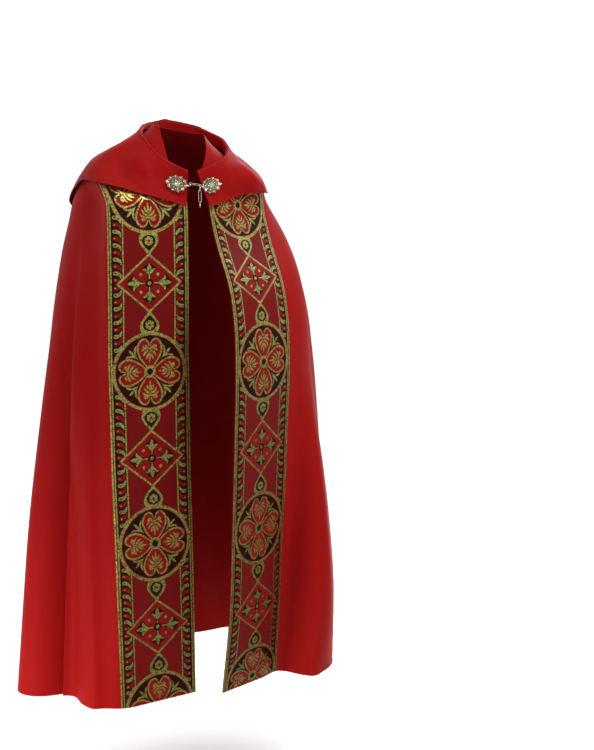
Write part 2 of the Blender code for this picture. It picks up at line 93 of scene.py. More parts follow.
# The cape's rings: oval sections at one height, from the neckline to the hem. The oval's centre lies
# centre_y behind the origin. edge_right and edge_left are where the open fronts end, square is how
# boxy the oval is, and tilt lowers the wearer's left side of the ring.
SECTIONS = table(
    "z centre_y right left front_right front_left back edge_right edge_left square tilt",
    (4.9, -4.6, 5.9, 5.7, 5.4, 5.4, 5.6, -5.75, 5.5, 2.0, -0.19),
    (3.2, -4.1, 7.3, 7.2, 6.0, 6.0, 7.2, -5.8, 5.1, 2.0, -0.17),
    (1.2, -3.3, 10.0, 9.8, 7.6, 7.6, 8.6, -5.7, 4.7, 2.0, -0.14),
    (-1.2, -2.3, 14.0, 13.6, 9.9, 9.7, 10.6, -5.7, 3.8, 2.0, -0.10),
    (-3.6, -1.4, 18.2, 17.2, 11.8, 11.5, 12.3, -5.2, 2.7, 2.1, -0.07),
    (-6.0, -0.8, 21.2, 20.2, 13.1, 12.7, 13.7, -3.8, 2.0, 2.1, -0.05),
    (-8.6, -0.4, 23.0, 22.2, 14.0, 13.6, 14.8, -3.0, 2.2, 2.2, -0.03),
    (-12.0, 0.0, 24.1, 24.0, 15.0, 14.6, 15.9, -2.8, 3.6, 2.2, 0.0),
    (-16.0, 0.0, 25.0, 26.0, 16.0, 16.8, 16.6, -2.7, 4.3, 2.2, 0.0),
    (-21.5, 0.0, 26.4, 28.2, 17.0, 21.4, 17.4, -2.7, 4.2, 2.2, 0.0),
    (-29.3, 0.0, 28.0, 30.4, 17.7, 28.0, 18.2, -2.7, 3.9, 2.1, 0.0),
    (-38.0, 0.0, 29.6, 32.0, 18.1, 33.0, 18.9, -2.7, 2.8, 2.0, 0.0),
    (-47.6, 0.0, 31.0, 33.2, 18.3, 34.6, 19.6, -2.6, 2.2, 1.9, 0.0),
    (-67.0, 0.0, 33.0, 34.9, 18.5, 32.8, 20.8, -2.3, 2.5, 1.9, 0.0),
    (-87.0, 0.0, 34.8, 36.4, 18.5, 30.2, 22.0, -1.8, 3.6, 1.9, 0.0),
    (-107.0, 0.0, 36.2, 38.4, 18.4, 27.6, 23.2, -1.4, 4.2, 1.9, 0.0),
    (-128.0, 0.0, 38.0, 40.4, 18.0, 21.5, 24.4, -1.2, 5.2, 2.1, 0.0),
)

# The front bands hang nearly flat: where the inner edge of each lies at a height, and how far the band
# turns from straight across, more than 0 where its outer edge comes forward.
FRONTS = table(
    "z right_x right_y right_turn left_x left_y left_turn",
    (-6.0, -3.4, -13.4, -3.0, 1.5, -13.9, -16.0),
    (-12.0, -2.2, -15.1, 4.0, 3.1, -14.9, -25.0),
    (-21.5, -2.5, -16.3, 5.0, 2.8, -20.8, -27.0),
    (-29.3, -2.7, -16.9, 5.0, 2.8, -27.2, -28.0),
    (-38.0, -2.9, -17.2, 5.0, 2.1, -32.4, -28.0),
    (-47.6, -3.1, -17.4, 5.0, 1.5, -34.6, -28.0),
    (-67.0, -3.1, -17.6, 6.0, 1.7, -33.0, -29.0),
    (-87.0, -2.8, -17.6, 7.0, 2.3, -30.0, -29.0),
    (-107.0, -2.5, -17.4, 8.0, 2.6, -27.2, -27.0),
    (-128.0, -2.2, -17.0, 9.0, 3.4, -20.4, -22.0),
)
FRONT_BLEND_Z = (-3.0, -12.0)
FRONT_CORNER_ANGLE = 15.0
FRONT_SOFTNESS = 0.030

# The cape's largest folds. hem_place and top_place are how far round the cloth between the two bands
# the fold lies at the hem and where it starts, from 0 at the right band to 1 at the left band. out is
# how far it stands out at the hem, less than 0 for a hollow, and lean pushes its crest sideways.
FOLDS = table(
    "name hem_place top_place start_z width out lean",
    ("right front crest", 0.056, 0.060, -9.0, 5.5, 3.4, -0.4),
    ("right front hollow", 0.108, 0.120, -9.0, 5.0, -5.0, -0.4),
    ("right side crest", 0.190, 0.190, -40.0, 8.0, 2.6, 0.0),
    ("right side hollow", 0.255, 0.240, -50.0, 6.5, -2.0, 0.2),
    ("right back hollow", 0.335, 0.320, -34.0, 6.5, -3.0, 0.4),
    ("right back crest", 0.400, 0.380, -30.0, 7.5, 4.6, -0.6),
    ("back hollow, right", 0.475, 0.470, -50.0, 8.0, -1.4, 0.0),
    ("back middle crest", 0.530, 0.525, -64.0, 6.5, 1.2, 0.0),
    ("back hollow, left", 0.580, 0.575, -55.0, 6.0, -1.6, 0.0),
    ("left back crest", 0.640, 0.635, -42.0, 7.5, 2.4, 0.2),
    ("left blade crest", 0.735, 0.735, -13.0, 6.0, 2.8, 0.7),
    ("left back hollow", 0.785, 0.790, -11.0, 5.0, -4.0, 0.5),
    ("left side crest", 0.840, 0.850, -30.0, 7.0, 2.0, 0.0),
    ("left side hollow", 0.885, 0.880, -60.0, 6.0, -1.8, 0.0),
    ("left front crest", 0.940, 0.930, -50.0, 7.0, 8.2, 0.4),
    ("left front hollow", 0.992, 0.985, -70.0, 4.5, -2.2, 0.0),
)

# A fold's width where it starts and what it gains on the way to the hem, as parts of its width there,
# and how fast it grows.
FOLD_WIDTHS = (0.55, 0.45)
FOLD_GROWTH = 1.15
FOLD_GROWTH_POWER = 0.8

# Shallow creases between the folds. Each runs from top_z to foot_z, drifting sideways, and fades out at
# both ends. place and drift are parts of the way between the bands, and out is less than 0 for a trough.
CREASES = table(
    "place drift top_z foot_z width out",
    (0.030, 0.010, -14.0, -70.0, 2.4, -0.16),
    (0.150, -0.020, -12.0, -88.0, 3.0, -0.45),
    (0.172, -0.008, -48.0, -128.0, 2.6, 0.34),
    (0.215, 0.010, -20.0, -96.0, 3.2, 0.38),
    (0.238, 0.014, -70.0, -128.0, 2.2, -0.30),
    (0.290, -0.012, -28.0, -120.0, 3.4, 0.50),
    (0.318, 0.010, -74.0, -128.0, 2.6, -0.36),
    (0.362, -0.012, -24.0, -104.0, 2.8, -0.40),
    (0.428, 0.010, -66.0, -128.0, 2.6, 0.34),
    (0.452, -0.006, -30.0, -92.0, 3.2, -0.26),
    (0.502, 0.004, -58.0, -124.0, 2.6, -0.28),
    (0.552, -0.008, -36.0, -110.0, 3.0, 0.30),
    (0.606, 0.006, -70.0, -128.0, 2.4, -0.30),
    (0.662, 0.010, -20.0, -84.0, 3.2, -0.32),
    (0.690, 0.006, -52.0, -128.0, 2.8, 0.44),
    (0.714, -0.008, -16.0, -60.0, 2.2, -0.24),
    (0.760, 0.010, -44.0, -122.0, 2.4, 0.34),
    (0.812, 0.014, -14.0, -90.0, 2.8, 0.42),
    (0.862, 0.010, -52.0, -128.0, 2.6, -0.36),
    (0.905, 0.012, -18.0, -72.0, 2.8, -0.30),
    (0.918, 0.010, -84.0, -128.0, 2.2, -0.34),
    (0.962, -0.006, -30.0, -88.0, 2.4, 0.22),
)

# The sharp pleat beside the right band: where it lies at each height, as for the folds, and the
# distances from it, in metres, of the columns that draw it. Its widths are before and beyond its line.
PLEAT_LINE = np.array([
    (-128.0, 0.1175), (-105.0, 0.1200), (-90.0, 0.1175), (-80.0, 0.1135), (-70.0, 0.1040), (-60.0, 0.0880),
    (-50.0, 0.0830), (-40.0, 0.0840), (-28.0, 0.0955),
]).T  # fmt: skip
PLEAT_COLUMNS = np.array([
    -0.030, -0.022, -0.016, -0.011, -0.008, -0.006, -0.0045, -0.0032, -0.0022, -0.0012, -0.0004, 0.0004,
    0.0012, 0.0020, 0.0028, 0.0036, 0.0046, 0.0058, 0.0075, 0.010, 0.014, 0.019, 0.026, 0.035,
])  # fmt: skip
PLEAT_START = -20.0
PLEAT_FULL = -52.0
PLEAT_LIP = 0.0060
PLEAT_LIP_WIDTHS = (0.024, 0.0032)
PLEAT_GULLY = 0.0170
PLEAT_GULLY_PLACE = 0.0055
PLEAT_GULLY_WIDTHS = (0.0030, 0.028)
PLEAT_LEAN = 0.0080
PLEAT_PANEL = 1.6

# The solids' rows of cloth, the rows that the finished cloth and the radii have for each of them, and
# the rows that draw the hem.
ROW_HEIGHTS = (
    4.9, 4.1, 3.2, 2.2, 1.2, 0.0, -1.2, -2.4, -3.6, -4.8, -6.0, -7.3, -8.6, -10.3, -12.0, -14.0, -16.5,
    -20.0, -25.0, -31.0, -38.0, -45.0, -52.0, -60.0, -68.0, -76.0, -85.0, -94.0, -103.0, -111.0,
    -119.0, -128.0,
)  # fmt: skip
CLOTH_STEPS = 5
RADII_STEPS = 4
HEM_ROWS = (-126.6, -127.0, -127.25, -127.4, -127.7)
PLEAT_CELLS = 16
PANEL_CELLS = 160
BAND_CELLS = 40
LAY_COLUMNS = BAND_CELLS + 1
BAND_ACROSS = np.linspace(-0.5, 0.5, LAY_COLUMNS) * BAND_WIDTH
WHOLE_TURN = np.arange(0.0, 361.0)

# The narrow turned hem of the cape and the hood, and the stitches that hold it.
HEM_WIDTH = 0.0062
HEM_STEPS = (0.0, 0.003, 0.005, HEM_WIDTH, 0.008)
HEM_LIFT = 0.0006
HEM_SLOPE = 0.0015
HEM_DIP = 0.0003
HEM_DIP_WIDTH = 0.0009

# The lowest height that a place near the neck is looked for at, and the halvings of that range.
NECK_LOW_Z = -20.0
NECK_HALVINGS = 14

# The hood, from a front corner to the centre back on the wearer's right (-1) and left (1): where its
# roll lies and how far the roll stands out from the cape, and where its lower edge lies.
HOOD_STATION = "roll_angle roll_z roll_gap edge_angle edge_z"
HOOD_STATIONS = {
    -1.0: table(
        HOOD_STATION,
        (-7.1, -5.1, 1.2, -9.4, -12.9),
        (-29.3, -2.6, 1.4, -35.5, -10.2),
        (-46.5, 0.0, 1.55, -62.0, -7.3),
        (-65.0, 2.4, 1.9, -82.0, -6.8),
        (-100.0, 4.6, 2.2, -102.0, -10.8),
        (-137.0, 5.7, 3.0, -124.0, -15.4),
        (-162.0, 6.2, 3.9, -151.6, -20.0),
        (-180.0, 6.8, 4.5, -180.0, -24.8),
    ),
    1.0: table(
        HOOD_STATION,
        (2.6, -5.2, 1.3, 11.0, -12.9),
        (26.8, -3.4, 1.6, 33.0, -11.6),
        (55.0, -1.4, 1.7, 57.0, -10.1),
        (85.5, 0.9, 4.2, 79.0, -10.2),
        (108.0, 2.8, 6.4, 100.0, -10.9),
        (133.5, 4.9, 6.6, 122.0, -14.6),
        (152.0, 5.9, 5.7, 147.0, -19.7),
        (180.0, 6.8, 4.5, 180.0, -24.8),
    ),
}
HOOD_EDGE_GAP = 0.0095
HOOD_GAP_POWER = 2.2
HOOD_ROLL_RADIUS = 0.005
HOOD_ROLL_SHARE = 0.30
HOOD_LEG_LENGTH = 0.030
HOOD_LEG_SHARES = (0.2, 0.8)
HOOD_LEG_LEAST = 0.0016
HOOD_FOOT_GAP = 0.0085

# Soft creases in the hood's fall. Each starts at the roll and runs to the edge, at parts of the way from
# the middle of the back to the front edges, less than 0 on the wearer's right. It fades in below high
# and out at low, parts of the way up the fall. width is in centimetres and out in millimetres.
HOOD_CREASES = table(
    "roll edge high low width out",
    (-0.66, -1.02, 0.98, 0.05, 3.2, 3.9),
    (-0.58, -0.84, 0.95, -0.20, 2.6, -4.8),
    (-0.52, -0.66, 0.98, 0.10, 2.6, 4.2),
    (-0.44, -0.50, 0.80, -0.20, 2.0, -3.8),
    (-0.40, -0.38, 0.75, -0.20, 2.4, 4.2),
    (-0.34, -0.28, 0.60, -0.20, 2.0, -3.4),
    (0.30, 0.27, 0.65, -0.20, 2.2, -3.8),
    (0.38, 0.37, 0.80, -0.20, 2.4, 4.2),
    (0.46, 0.50, 0.95, 0.05, 2.0, -3.8),
    (0.54, 0.60, 0.85, -0.20, 1.8, 4.6),
    (0.58, 0.68, 0.90, -0.20, 1.5, -4.6),
    (0.64, 0.78, 0.80, -0.20, 1.8, 3.8),
    (0.70, 0.98, 0.98, 0.10, 3.0, -3.4),
)

# How far from the band and from the front edges the hood's cloth is held flat, and the distance in which
# it comes loose.
HOOD_BAND_HOLD = (0.006, 0.035)
HOOD_CLASP_HOLD = (0.075, 0.03)
HOOD_CREASE_POWER = 0.7

HOOD_FALL_ROWS = 30
HOOD_ROLL_TURNS = (*range(15, 181, 15), 185)
HOOD_LEG_ROWS = 5
HOOD_TOP_ROW = HOOD_LEG_ROWS + len(HOOD_ROLL_TURNS)
HOOD_PARTS = 97
HOOD_COLUMNS = 144
HOOD_BAND_OVER = 8
HOOD_BAND_ROWS = 56
HOOD_BAND_PARTS = np.linspace(1.0, 0.5, 46)


def smooth_step(t):
    t = np.clip(t, 0.0, 1.0)
    return t * t * (3.0 - 2.0 * t)


def reaches(points):
    """How far each point of a line lies along it."""
    return np.append(0.0, np.cumsum(np.linalg.norm(np.diff(points, axis=0), axis=1)))


def along_line(points, distances):
    """The line's points at distances along it."""
    reach = reaches(points)
    return np.stack([np.interp(distances, reach, column) for column in points.T], axis=-1)


@functools.lru_cache(maxsize=None)
def table_slopes(rows, places):
    """A table's rows, and the slope of each column at them, for a cubic that never overshoots a row."""
    rows = np.array(rows, float)
    slopes = np.diff(rows, axis=0) / np.diff(places)[:, None]
    tangents = np.concatenate([slopes[:1], 0.5 * (slopes[1:] + slopes[:-1]), slopes[-1:]])
    tangents[1:-1][slopes[1:] * slopes[:-1] <= 0.0] = 0.0
    for i, slope in enumerate(slopes):
        limit = 3.0 * np.abs(slope)
        tangents[i] = np.clip(tangents[i], -limit, limit)
        tangents[i + 1] = np.clip(tangents[i + 1], -limit, limit)
    return rows, tangents


def between_rows(named, places, wanted):
    """A table's row at a place between its own rows, on a smooth curve through them."""
    rows, tangents = table_slopes(named, places)
    wanted = min(max(wanted, places[0]), places[-1])
    i = min(bisect.bisect_right(places, wanted), len(places) - 1) - 1
    step = places[i + 1] - places[i]
    t = (wanted - places[i]) / step
    row = rows[i] * ((1 + 2 * t) * (1 - t) ** 2) + tangents[i] * (step * t * (1 - t) ** 2)
    row = row + rows[i + 1] * (t * t * (3 - 2 * t)) + tangents[i + 1] * (step * t * t * (t - 1))
    return type(named[0])(*row.tolist())


@functools.lru_cache(maxsize=None)
def table_row(rows, z):
    """A row of a table by height, at the height z in centimetres."""
    return between_rows(rows[::-1], tuple(row.z for row in rows[::-1]), z)


def section_at(z):
    """The cape's ring at the height z in centimetres."""
    return table_row(SECTIONS, float(z))


def ring_points(ring, angle):
    """Points on the ring, in metres, at angles from straight ahead, more than 0 on the wearer's left."""
    turn = np.radians(angle)
    on_left = np.sin(turn) > 0
    ahead = np.where(on_left, ring.front_left, ring.front_right)
    across = np.abs(np.sin(turn) / np.where(on_left, ring.left, ring.right)) ** ring.square
    along = np.abs(np.cos(turn) / np.where(np.cos(turn) > 0, ahead, ring.back)) ** ring.square
    radius = (across + along) ** (-1.0 / ring.square)
    x = radius * np.sin(turn)
    return np.stack([x, ring.centre_y - radius * np.cos(turn), ring.z + ring.tilt * x], axis=-1) * CM


def edge_angle(ring, edge_x, side):
    """The angle at which the ring reaches the front edge's place."""
    angles = np.linspace(0.0, 90.0, 181) * side
    places = np.abs(ring_points(ring, angles)[:, 0]) / CM
    return float(np.interp(abs(edge_x), places, np.abs(angles))) * side


def fronted_ring(ring):
    """The ring with its two fronts drawn flat, each as wide as a front band, and its corners rounded."""
    front = table_row(FRONTS, ring.z)
    ends, corners = [], []
    for side, (x, y, turn) in ((-1.0, front[1:4]), (1.0, front[4:])):
        lean = math.radians(turn)
        inner = np.array([x * CM, y * CM, (ring.z + ring.tilt * x) * CM])
        across = np.array([side * math.cos(lean), -math.sin(lean), side * ring.tilt])
        ends.append(inner + across * BAND_WIDTH * np.linspace(0.0, 1.0, 40)[:, None])
        outer = ends[-1][-1]
        corner = math.degrees(math.atan2(outer[0], ring.centre_y * CM - outer[1]))
        corners.append(corner + side * FRONT_CORNER_ANGLE)
    angles = np.linspace(corners[0], corners[1] - 360.0, RING_SAMPLES)
    line = np.concatenate([ends[0], ring_points(ring, angles), ends[1][::-1]])
    length = reaches(line)[-1]
    places = np.linspace(0.0, length, RING_SAMPLES)
    room = np.minimum(FRONT_SOFTNESS, np.minimum(places, length - places))
    return np.mean([along_line(line, places + room * step) for step in np.linspace(-1.0, 1.0, 9)], axis=0)


@functools.lru_cache(maxsize=None)
def ring_line(z):
    """The cape's ring from the right front edge round the back to the left front edge, without folds."""
    ring = section_at(z)
    first = edge_angle(ring, ring.edge_right, -1.0)
    last = edge_angle(ring, ring.edge_left, 1.0)
    line = ring_points(ring, np.linspace(first, last - 360.0, RING_SAMPLES))
    flat = smooth_step((FRONT_BLEND_Z[0] - z) / (FRONT_BLEND_Z[0] - FRONT_BLEND_Z[1]))
    if flat > 0.0:
        line += flat * (fronted_ring(ring) - line)
    return line


def cape_row(z, spread):
    """One row of the cape's cloth, with its folds, creases and pleat, at the distances that spread gives
    for the height, the band's width and the row's length."""
    line = ring_line(float(z))
    length = reaches(line)[-1]
    band = min(BAND_WIDTH, BAND_SHARE * length)
    panel = length - 2.0 * band
    places = spread(z, band, length)
    row = along_line(line, places)
    ahead = along_line(line, places + TANGENT_REACH) - along_line(line, places - TANGENT_REACH)
    ahead /= np.linalg.norm(ahead, axis=1)[:, None]
    outward = np.stack([-ahead[:, 1], ahead[:, 0], np.zeros(len(places))], axis=-1)
    for fold in FOLDS:
        grown = (fold.start_z - z) / (fold.start_z - SECTIONS[-1].z)
        if grown <= 0.0:
            continue
        place = fold.top_place + (fold.hem_place - fold.top_place) * grown
        width = fold.width * CM * (FOLD_WIDTHS[0] + FOLD_WIDTHS[1] * grown)
        across = (places - band - place * panel) / width
        height = smooth_step(grown * FOLD_GROWTH) ** FOLD_GROWTH_POWER * fold.out * CM
        shape = np.exp(-across * across) * height
        row += outward * shape[:, None] + ahead * (fold.lean * np.abs(shape))[:, None]
    for crease in CREASES:
        part = (crease.top_z - z) / (crease.top_z - crease.foot_z)
        # A crease that reaches the hem is deepest there, and another fades out before it.
        half_turns = 0.5 if crease.foot_z <= SECTIONS[-1].z else 1.0
        fade = math.sin(half_turns * math.pi * min(max(part, 0.0), 1.0))
        place = crease.place + crease.drift * (part - 0.5)
        across = (places - band - place * panel) / (crease.width * CM)
        row += outward * (np.exp(-across * across) * fade * crease.out * CM)[:, None]
    x = places - band - np.interp(z, *PLEAT_LINE) * panel
    grown = smooth_step((PLEAT_START - z) / (PLEAT_START - PLEAT_FULL))
    lip = np.exp(-((x / np.where(x < 0.0, *PLEAT_LIP_WIDTHS)) ** 2)) * grown
    x = x - PLEAT_GULLY_PLACE
    gully = np.exp(-((x / np.where(x < 0.0, *PLEAT_GULLY_WIDTHS)) ** 2)) * grown
    out = PLEAT_LIP * lip - PLEAT_GULLY * gully
    return row + outward * out[:, None] + ahead * (PLEAT_LEAN * lip)[:, None]


def row_heights(steps):
    """The heights of the solids' rows, with steps between them, in centimetres."""
    last = len(ROW_HEIGHTS) - 1
    return np.interp(np.linspace(0, last, last * steps + 1), np.arange(last + 1), ROW_HEIGHTS)


RADII_HEIGHTS = row_heights(RADII_STEPS)
CLOTH_HEIGHTS = np.sort(np.append(row_heights(CLOTH_STEPS), HEM_ROWS))[::-1]


def hem_relief(distance):
    """How far the turned hem stands out, with a dip along its stitches, by the distance from the edge."""
    turned_in = smooth_step((HEM_WIDTH - distance) / HEM_SLOPE)
    return HEM_LIFT * turned_in - HEM_DIP * np.exp(-(((distance - HEM_WIDTH) / HEM_DIP_WIDTH) ** 2))


def all_round(z, band, length):
    """Distances along a row of the cape: the bands' own columns under each band, and between them
    columns that stand closer at the pleat."""
    panel = length - 2.0 * band
    close = np.interp(z, *PLEAT_LINE) * panel + PLEAT_COLUMNS * min(1.0, panel / PLEAT_PANEL)
    before = np.linspace(0.0, close[0], PLEAT_CELLS + 1)[1:-1]
    beyond = np.linspace(close[-1], panel, PANEL_CELLS + 1)[1:-1]
    right = np.linspace(0.0, band, LAY_COLUMNS)
    left = np.linspace(length - band, length, LAY_COLUMNS)
    return np.concatenate([right, band + np.concatenate([before, close, beyond]), left])


def grid_normals(grid):
    normals = np.cross(np.gradient(grid, axis=1), np.gradient(grid, axis=0))
    return normals / np.linalg.norm(normals, axis=-1)[..., None]


@functools.lru_cache(maxsize=None)
def cape_cloth():
    """The cape's outer face, row by row from its neckline, with its turned hem."""
    grid = np.stack([cape_row(z, all_round) for z in CLOTH_HEIGHTS])
    columns = np.arange(grid.shape[1])
    out = np.tile(hem_relief((CLOTH_HEIGHTS - CLOTH_HEIGHTS[-1]) * CM)[:, None], (1, len(columns)))
    # The bands press the cloth in under them, from just inside their seams.
    under = np.minimum(columns, columns[::-1]) / BAND_CELLS
    pressed = smooth_step((BAND_SEAM[0] - under) / BAND_SEAM[1])
    out -= np.outer(CLOTH_HEIGHTS <= BAND_TOP_Z, pressed) * BAND_PRESS
    return grid + grid_normals(grid) * out[..., None]


@functools.lru_cache(maxsize=None)
def cape_radii():
    """The cape's distance from its ring centres: a row per height and a column per degree of turn."""
    radii = []
    for z in RADII_HEIGHTS:
        line = ring_line(float(z))[::-1]
        x = line[:, 0]
        y = line[:, 1] - section_at(z).centre_y * CM
        radii.append(np.interp(WHOLE_TURN, np.degrees(np.unwrap(np.arctan2(x, -y))), np.hypot(x, y)))
    return np.stack(radii)


def cape_radius(z, angle):
    """The cape's distance from its ring centre at the height z in centimetres."""
    count = len(RADII_HEIGHTS)
    row = np.interp(z, RADII_HEIGHTS[::-1], np.arange(count)[::-1])
    first = min(int(row), count - 2)
    above, below = (np.interp(angle % 360.0, WHOLE_TURN, cape_radii()[k]) for k in (first, first + 1))
    return above + (below - above) * (row - first)


def cape_level(x, y):
    """How high the plain cape is over a place near the neck, in metres."""
    high = SECTIONS[0].z
    low = NECK_LOW_Z
    for _ in range(NECK_HALVINGS):
        z = 0.5 * (high + low)
        back = y - section_at(z).centre_y * CM
        if cape_radius(z, math.degrees(math.atan2(x, -back))) < math.hypot(x, back):
            high = z
        else:
            low = z
    return high * CM + section_at(high).tilt * x


@functools.lru_cache(maxsize=None)
def hood_station(side, part):
    """The hood's station at a part of the way from a front corner to the centre back."""
    stations = HOOD_STATIONS[side]
    return between_rows(stations, tuple(np.linspace(0.0, 1.0, len(stations)).tolist()), part)


def hood_fall(side, part, t):
    """A point on the hood's outside, from its lower edge at t = 0 to the foot of its roll at t = 1."""
    station = hood_station(side, part)
    level = station.edge_z + (station.roll_z - station.edge_z) * t
    angle = station.edge_angle + (station.roll_angle - station.edge_angle) * t
    turn = math.radians(angle)
    ring = section_at(min(level, SECTIONS[0].z))
    # The ring that passes through this level on this side, once its tilt is taken off.
    reach = float(cape_radius(ring.z, angle)) * math.sin(turn) / CM
    ring = section_at(min(level - ring.tilt * reach, SECTIONS[0].z))
    spread = cape_radius(ring.z - 1.0, angle) - cape_radius(ring.z + 1.0, angle)
    gap = HOOD_EDGE_GAP * math.hypot(1.0, 0.5 * spread / CM)
    gap += max(0.0, station.roll_gap * CM - gap) * max(t, 0.0) ** HOOD_GAP_POWER
    out = float(cape_radius(ring.z, angle)) + gap
    return np.array([out * math.sin(turn), ring.centre_y * CM - out * math.cos(turn), level * CM])


def hood_roll(side, part):
    """The hood over its roll and down its inner leg, from beyond the crest to the foot."""
    station = hood_station(side, part)
    crest = hood_fall(side, part, 1.0)
    inward = np.array([0.0, section_at(station.roll_z).centre_y * CM, crest[2]]) - crest
    inward /= np.linalg.norm(inward)
    up = np.array([0.0, 0.0, 1.0])
    roll = min(HOOD_ROLL_RADIUS, HOOD_ROLL_SHARE * station.roll_gap * CM)
    turns = [math.radians(turn) for turn in HOOD_ROLL_TURNS]
    line = [crest + inward * roll * (1.0 - math.cos(turn)) + up * roll * math.sin(turn) for turn in turns]
    leg = line[-1]
    foot = leg.copy()
    drop = HOOD_LEG_LENGTH * (HOOD_LEG_SHARES[0] + HOOD_LEG_SHARES[1] * part)
    lowest = max(cape_level(foot[0], foot[1]) + HOOD_FOOT_GAP, leg[2] - drop)
    foot[2] = min(lowest, leg[2] - HOOD_LEG_LEAST)
    return line + [leg + (foot - leg) * step for step in np.linspace(0.0, 1.0, HOOD_LEG_ROWS + 1)[1:]]


def hood_profile(side, part):
    """Points of the hood from its inner foot up, over the roll and down to its lower edge, one a row."""
    station = hood_station(side, part)
    hem = np.array(HEM_STEPS) / ((station.roll_z - station.edge_z) * CM)
    steps = np.append(hem, np.linspace(hem[-1], 1.0, HOOD_FALL_ROWS)[1:])
    return np.stack(([hood_fall(side, part, t) for t in steps] + hood_roll(side, part))[::-1])


def hood_grid():
    """Rows along the hood, each from its right front corner round the back to its left one."""
    parts = np.linspace(1.0, 0.0, HOOD_PARTS)
    sides = [np.stack([hood_profile(side, float(part)) for part in parts], axis=1) for side in (-1.0, 1.0)]
    rows = []
    for lines in zip(*sides):
        halves = []
        for line in lines:
            hem = reaches(line)[-1] - np.array(HEM_STEPS)[::-1]
            places = np.append(np.linspace(0.0, hem[0], HOOD_COLUMNS)[:-1], hem)
            halves.append(along_line(line, places))
        rows.append(np.concatenate([halves[0][:0:-1], halves[1]]))
    return np.stack(rows)


@functools.lru_cache(maxsize=None)
def hood_cloth():
    """The hood's outer face, row by row from its inner foot, with its creases and its turned edge."""
    grid = hood_grid()
    below = np.zeros(grid.shape[:2])
    below[:-1] = np.cumsum(np.linalg.norm(np.diff(grid, axis=0), axis=2)[::-1], axis=0)[::-1]
    reach = np.stack([reaches(row) for row in grid])
    beside = np.minimum(reach, reach[:, -1:] - reach)
    half = 0.5 * reach[:, -1:]
    up = np.clip(below / below[HOOD_TOP_ROW], 0.0, 1.0)
    out = hem_relief(np.minimum(below, beside))
    # The band down the back and the clasp at the front corners hold the cloth flat.
    loose = smooth_step((np.abs(reach - half) - 0.5 * BAND_WIDTH - HOOD_BAND_HOLD[0]) / HOOD_BAND_HOLD[1])
    loose *= smooth_step((beside - HOOD_CLASP_HOLD[0]) / HOOD_CLASP_HOLD[1])
    for crease in HOOD_CREASES:
        line = crease.edge + (crease.roll - crease.edge) * up
        across = ((reach - half) / half - line) * half / (crease.width * CM)
        part = np.clip((crease.high - up) / (crease.high - crease.low), 0.0, 1.0)
        fade = np.sin(math.pi * part) ** HOOD_CREASE_POWER
        out = out + np.exp(-across * across) * fade * crease.out * MM * loose
    return grid + grid_normals(grid) * out[..., None]


# A piece of cloth laid out as a grid of points: its rows' distances along it, its columns' distances
# across it, its points and the way that each faces.
Lay = namedtuple("Lay", "along across points normals")


def on_lay(lay, across, along, lift):
    """Points and normals where (across, along) lies on the cloth, lifted off it."""
    i = np.interp(along, lay.along, np.arange(len(lay.along)))
    j = np.interp(across, lay.across, np.arange(len(lay.across)))
    row = np.minimum(i.astype(int), len(lay.along) - 2)
    column = np.minimum(j.astype(int), len(lay.across) - 2)
    a = (i - row)[:, None]
    b = (j - column)[:, None]

    def mixed(grid):
        upper = grid[row, column] * (1 - b) + grid[row, column + 1] * b
        lower = grid[row + 1, column] * (1 - b) + grid[row + 1, column + 1] * b
        return upper * (1 - a) + lower * a

    normals = mixed(lay.normals)
    normals /= np.linalg.norm(normals, axis=1)[:, None]
    return mixed(lay.points) + normals * lift, normals


def front_lay(side):
    """The cape's cloth under a front band. Across runs towards the wearer's left."""
    cells = np.linspace(0.0, 1.0, LAY_COLUMNS)

    def under_band(z, band, length):
        return band * cells if side < 0 else length - band * cells[::-1]

    points = np.stack([cape_row(z, under_band) for z in CLOTH_HEIGHTS if z <= BAND_TOP_Z])
    normals = grid_normals(points)[:, ::-1]
    points = points[:, ::-1]
    return Lay(reaches(points[:, LAY_COLUMNS // 2]), BAND_ACROSS, points, normals)


def hood_line(side, rise):
    """The hood's outside from the centre back outwards, as far up its fall as rise gives for a station."""
    parts = HOOD_BAND_PARTS.tolist()
    return np.stack([hood_fall(side, part, rise(hood_station(side, part))) for part in parts])


def hood_lay():
    """The hood's cloth under its band, from its point up and over the roll. Across runs towards the
    wearer's left. It also gives how far up the hood's lower edge cuts each column."""
    tip = hood_station(1.0, 1.0).edge_z
    middle = LAY_COLUMNS // 2
    outwards = np.abs(BAND_ACROSS[: middle + 1])
    rows = []
    for q in np.linspace(0.0, 1.0, HOOD_BAND_ROWS):

        def rise(station):
            level = tip + q * (station.roll_z - tip)
            return (level - station.edge_z) / (station.roll_z - station.edge_z)

        right, left = (along_line(hood_line(side, rise), outwards) for side in (-1.0, 1.0))
        rows.append(np.concatenate([right, left[-2::-1]]))
    rows = np.stack(rows)
    crests = {side: reaches(hood_line(side, lambda station: 1.0)) for side in (-1.0, 1.0)}
    edges = {side: hood_line(side, lambda station: 0.0) for side in (-1.0, 1.0)}
    over, cuts = [], []
    for j, u in enumerate(BAND_ACROSS):
        side = -1.0 if u < 0.0 else 1.0
        over.append(np.stack(hood_roll(side, float(np.interp(abs(u), crests[side], HOOD_BAND_PARTS)))))
        edge, column = edges[side], rows[:, j]
        turns = [np.arctan2(np.abs(line[:, 0]), line[:, 1]) for line in (edge, column)]
        above_edge = column[:, 2] - np.interp(turns[1], turns[0], edge[:, 2])
        cuts.append(np.interp(0.0, above_edge, reaches(rows[:, middle])))
    points = np.concatenate([rows, np.stack(over, axis=1)[:HOOD_BAND_OVER]])
    return Lay(reaches(points[:, middle]), BAND_ACROSS, points, -grid_normals(points)), np.array(cuts)


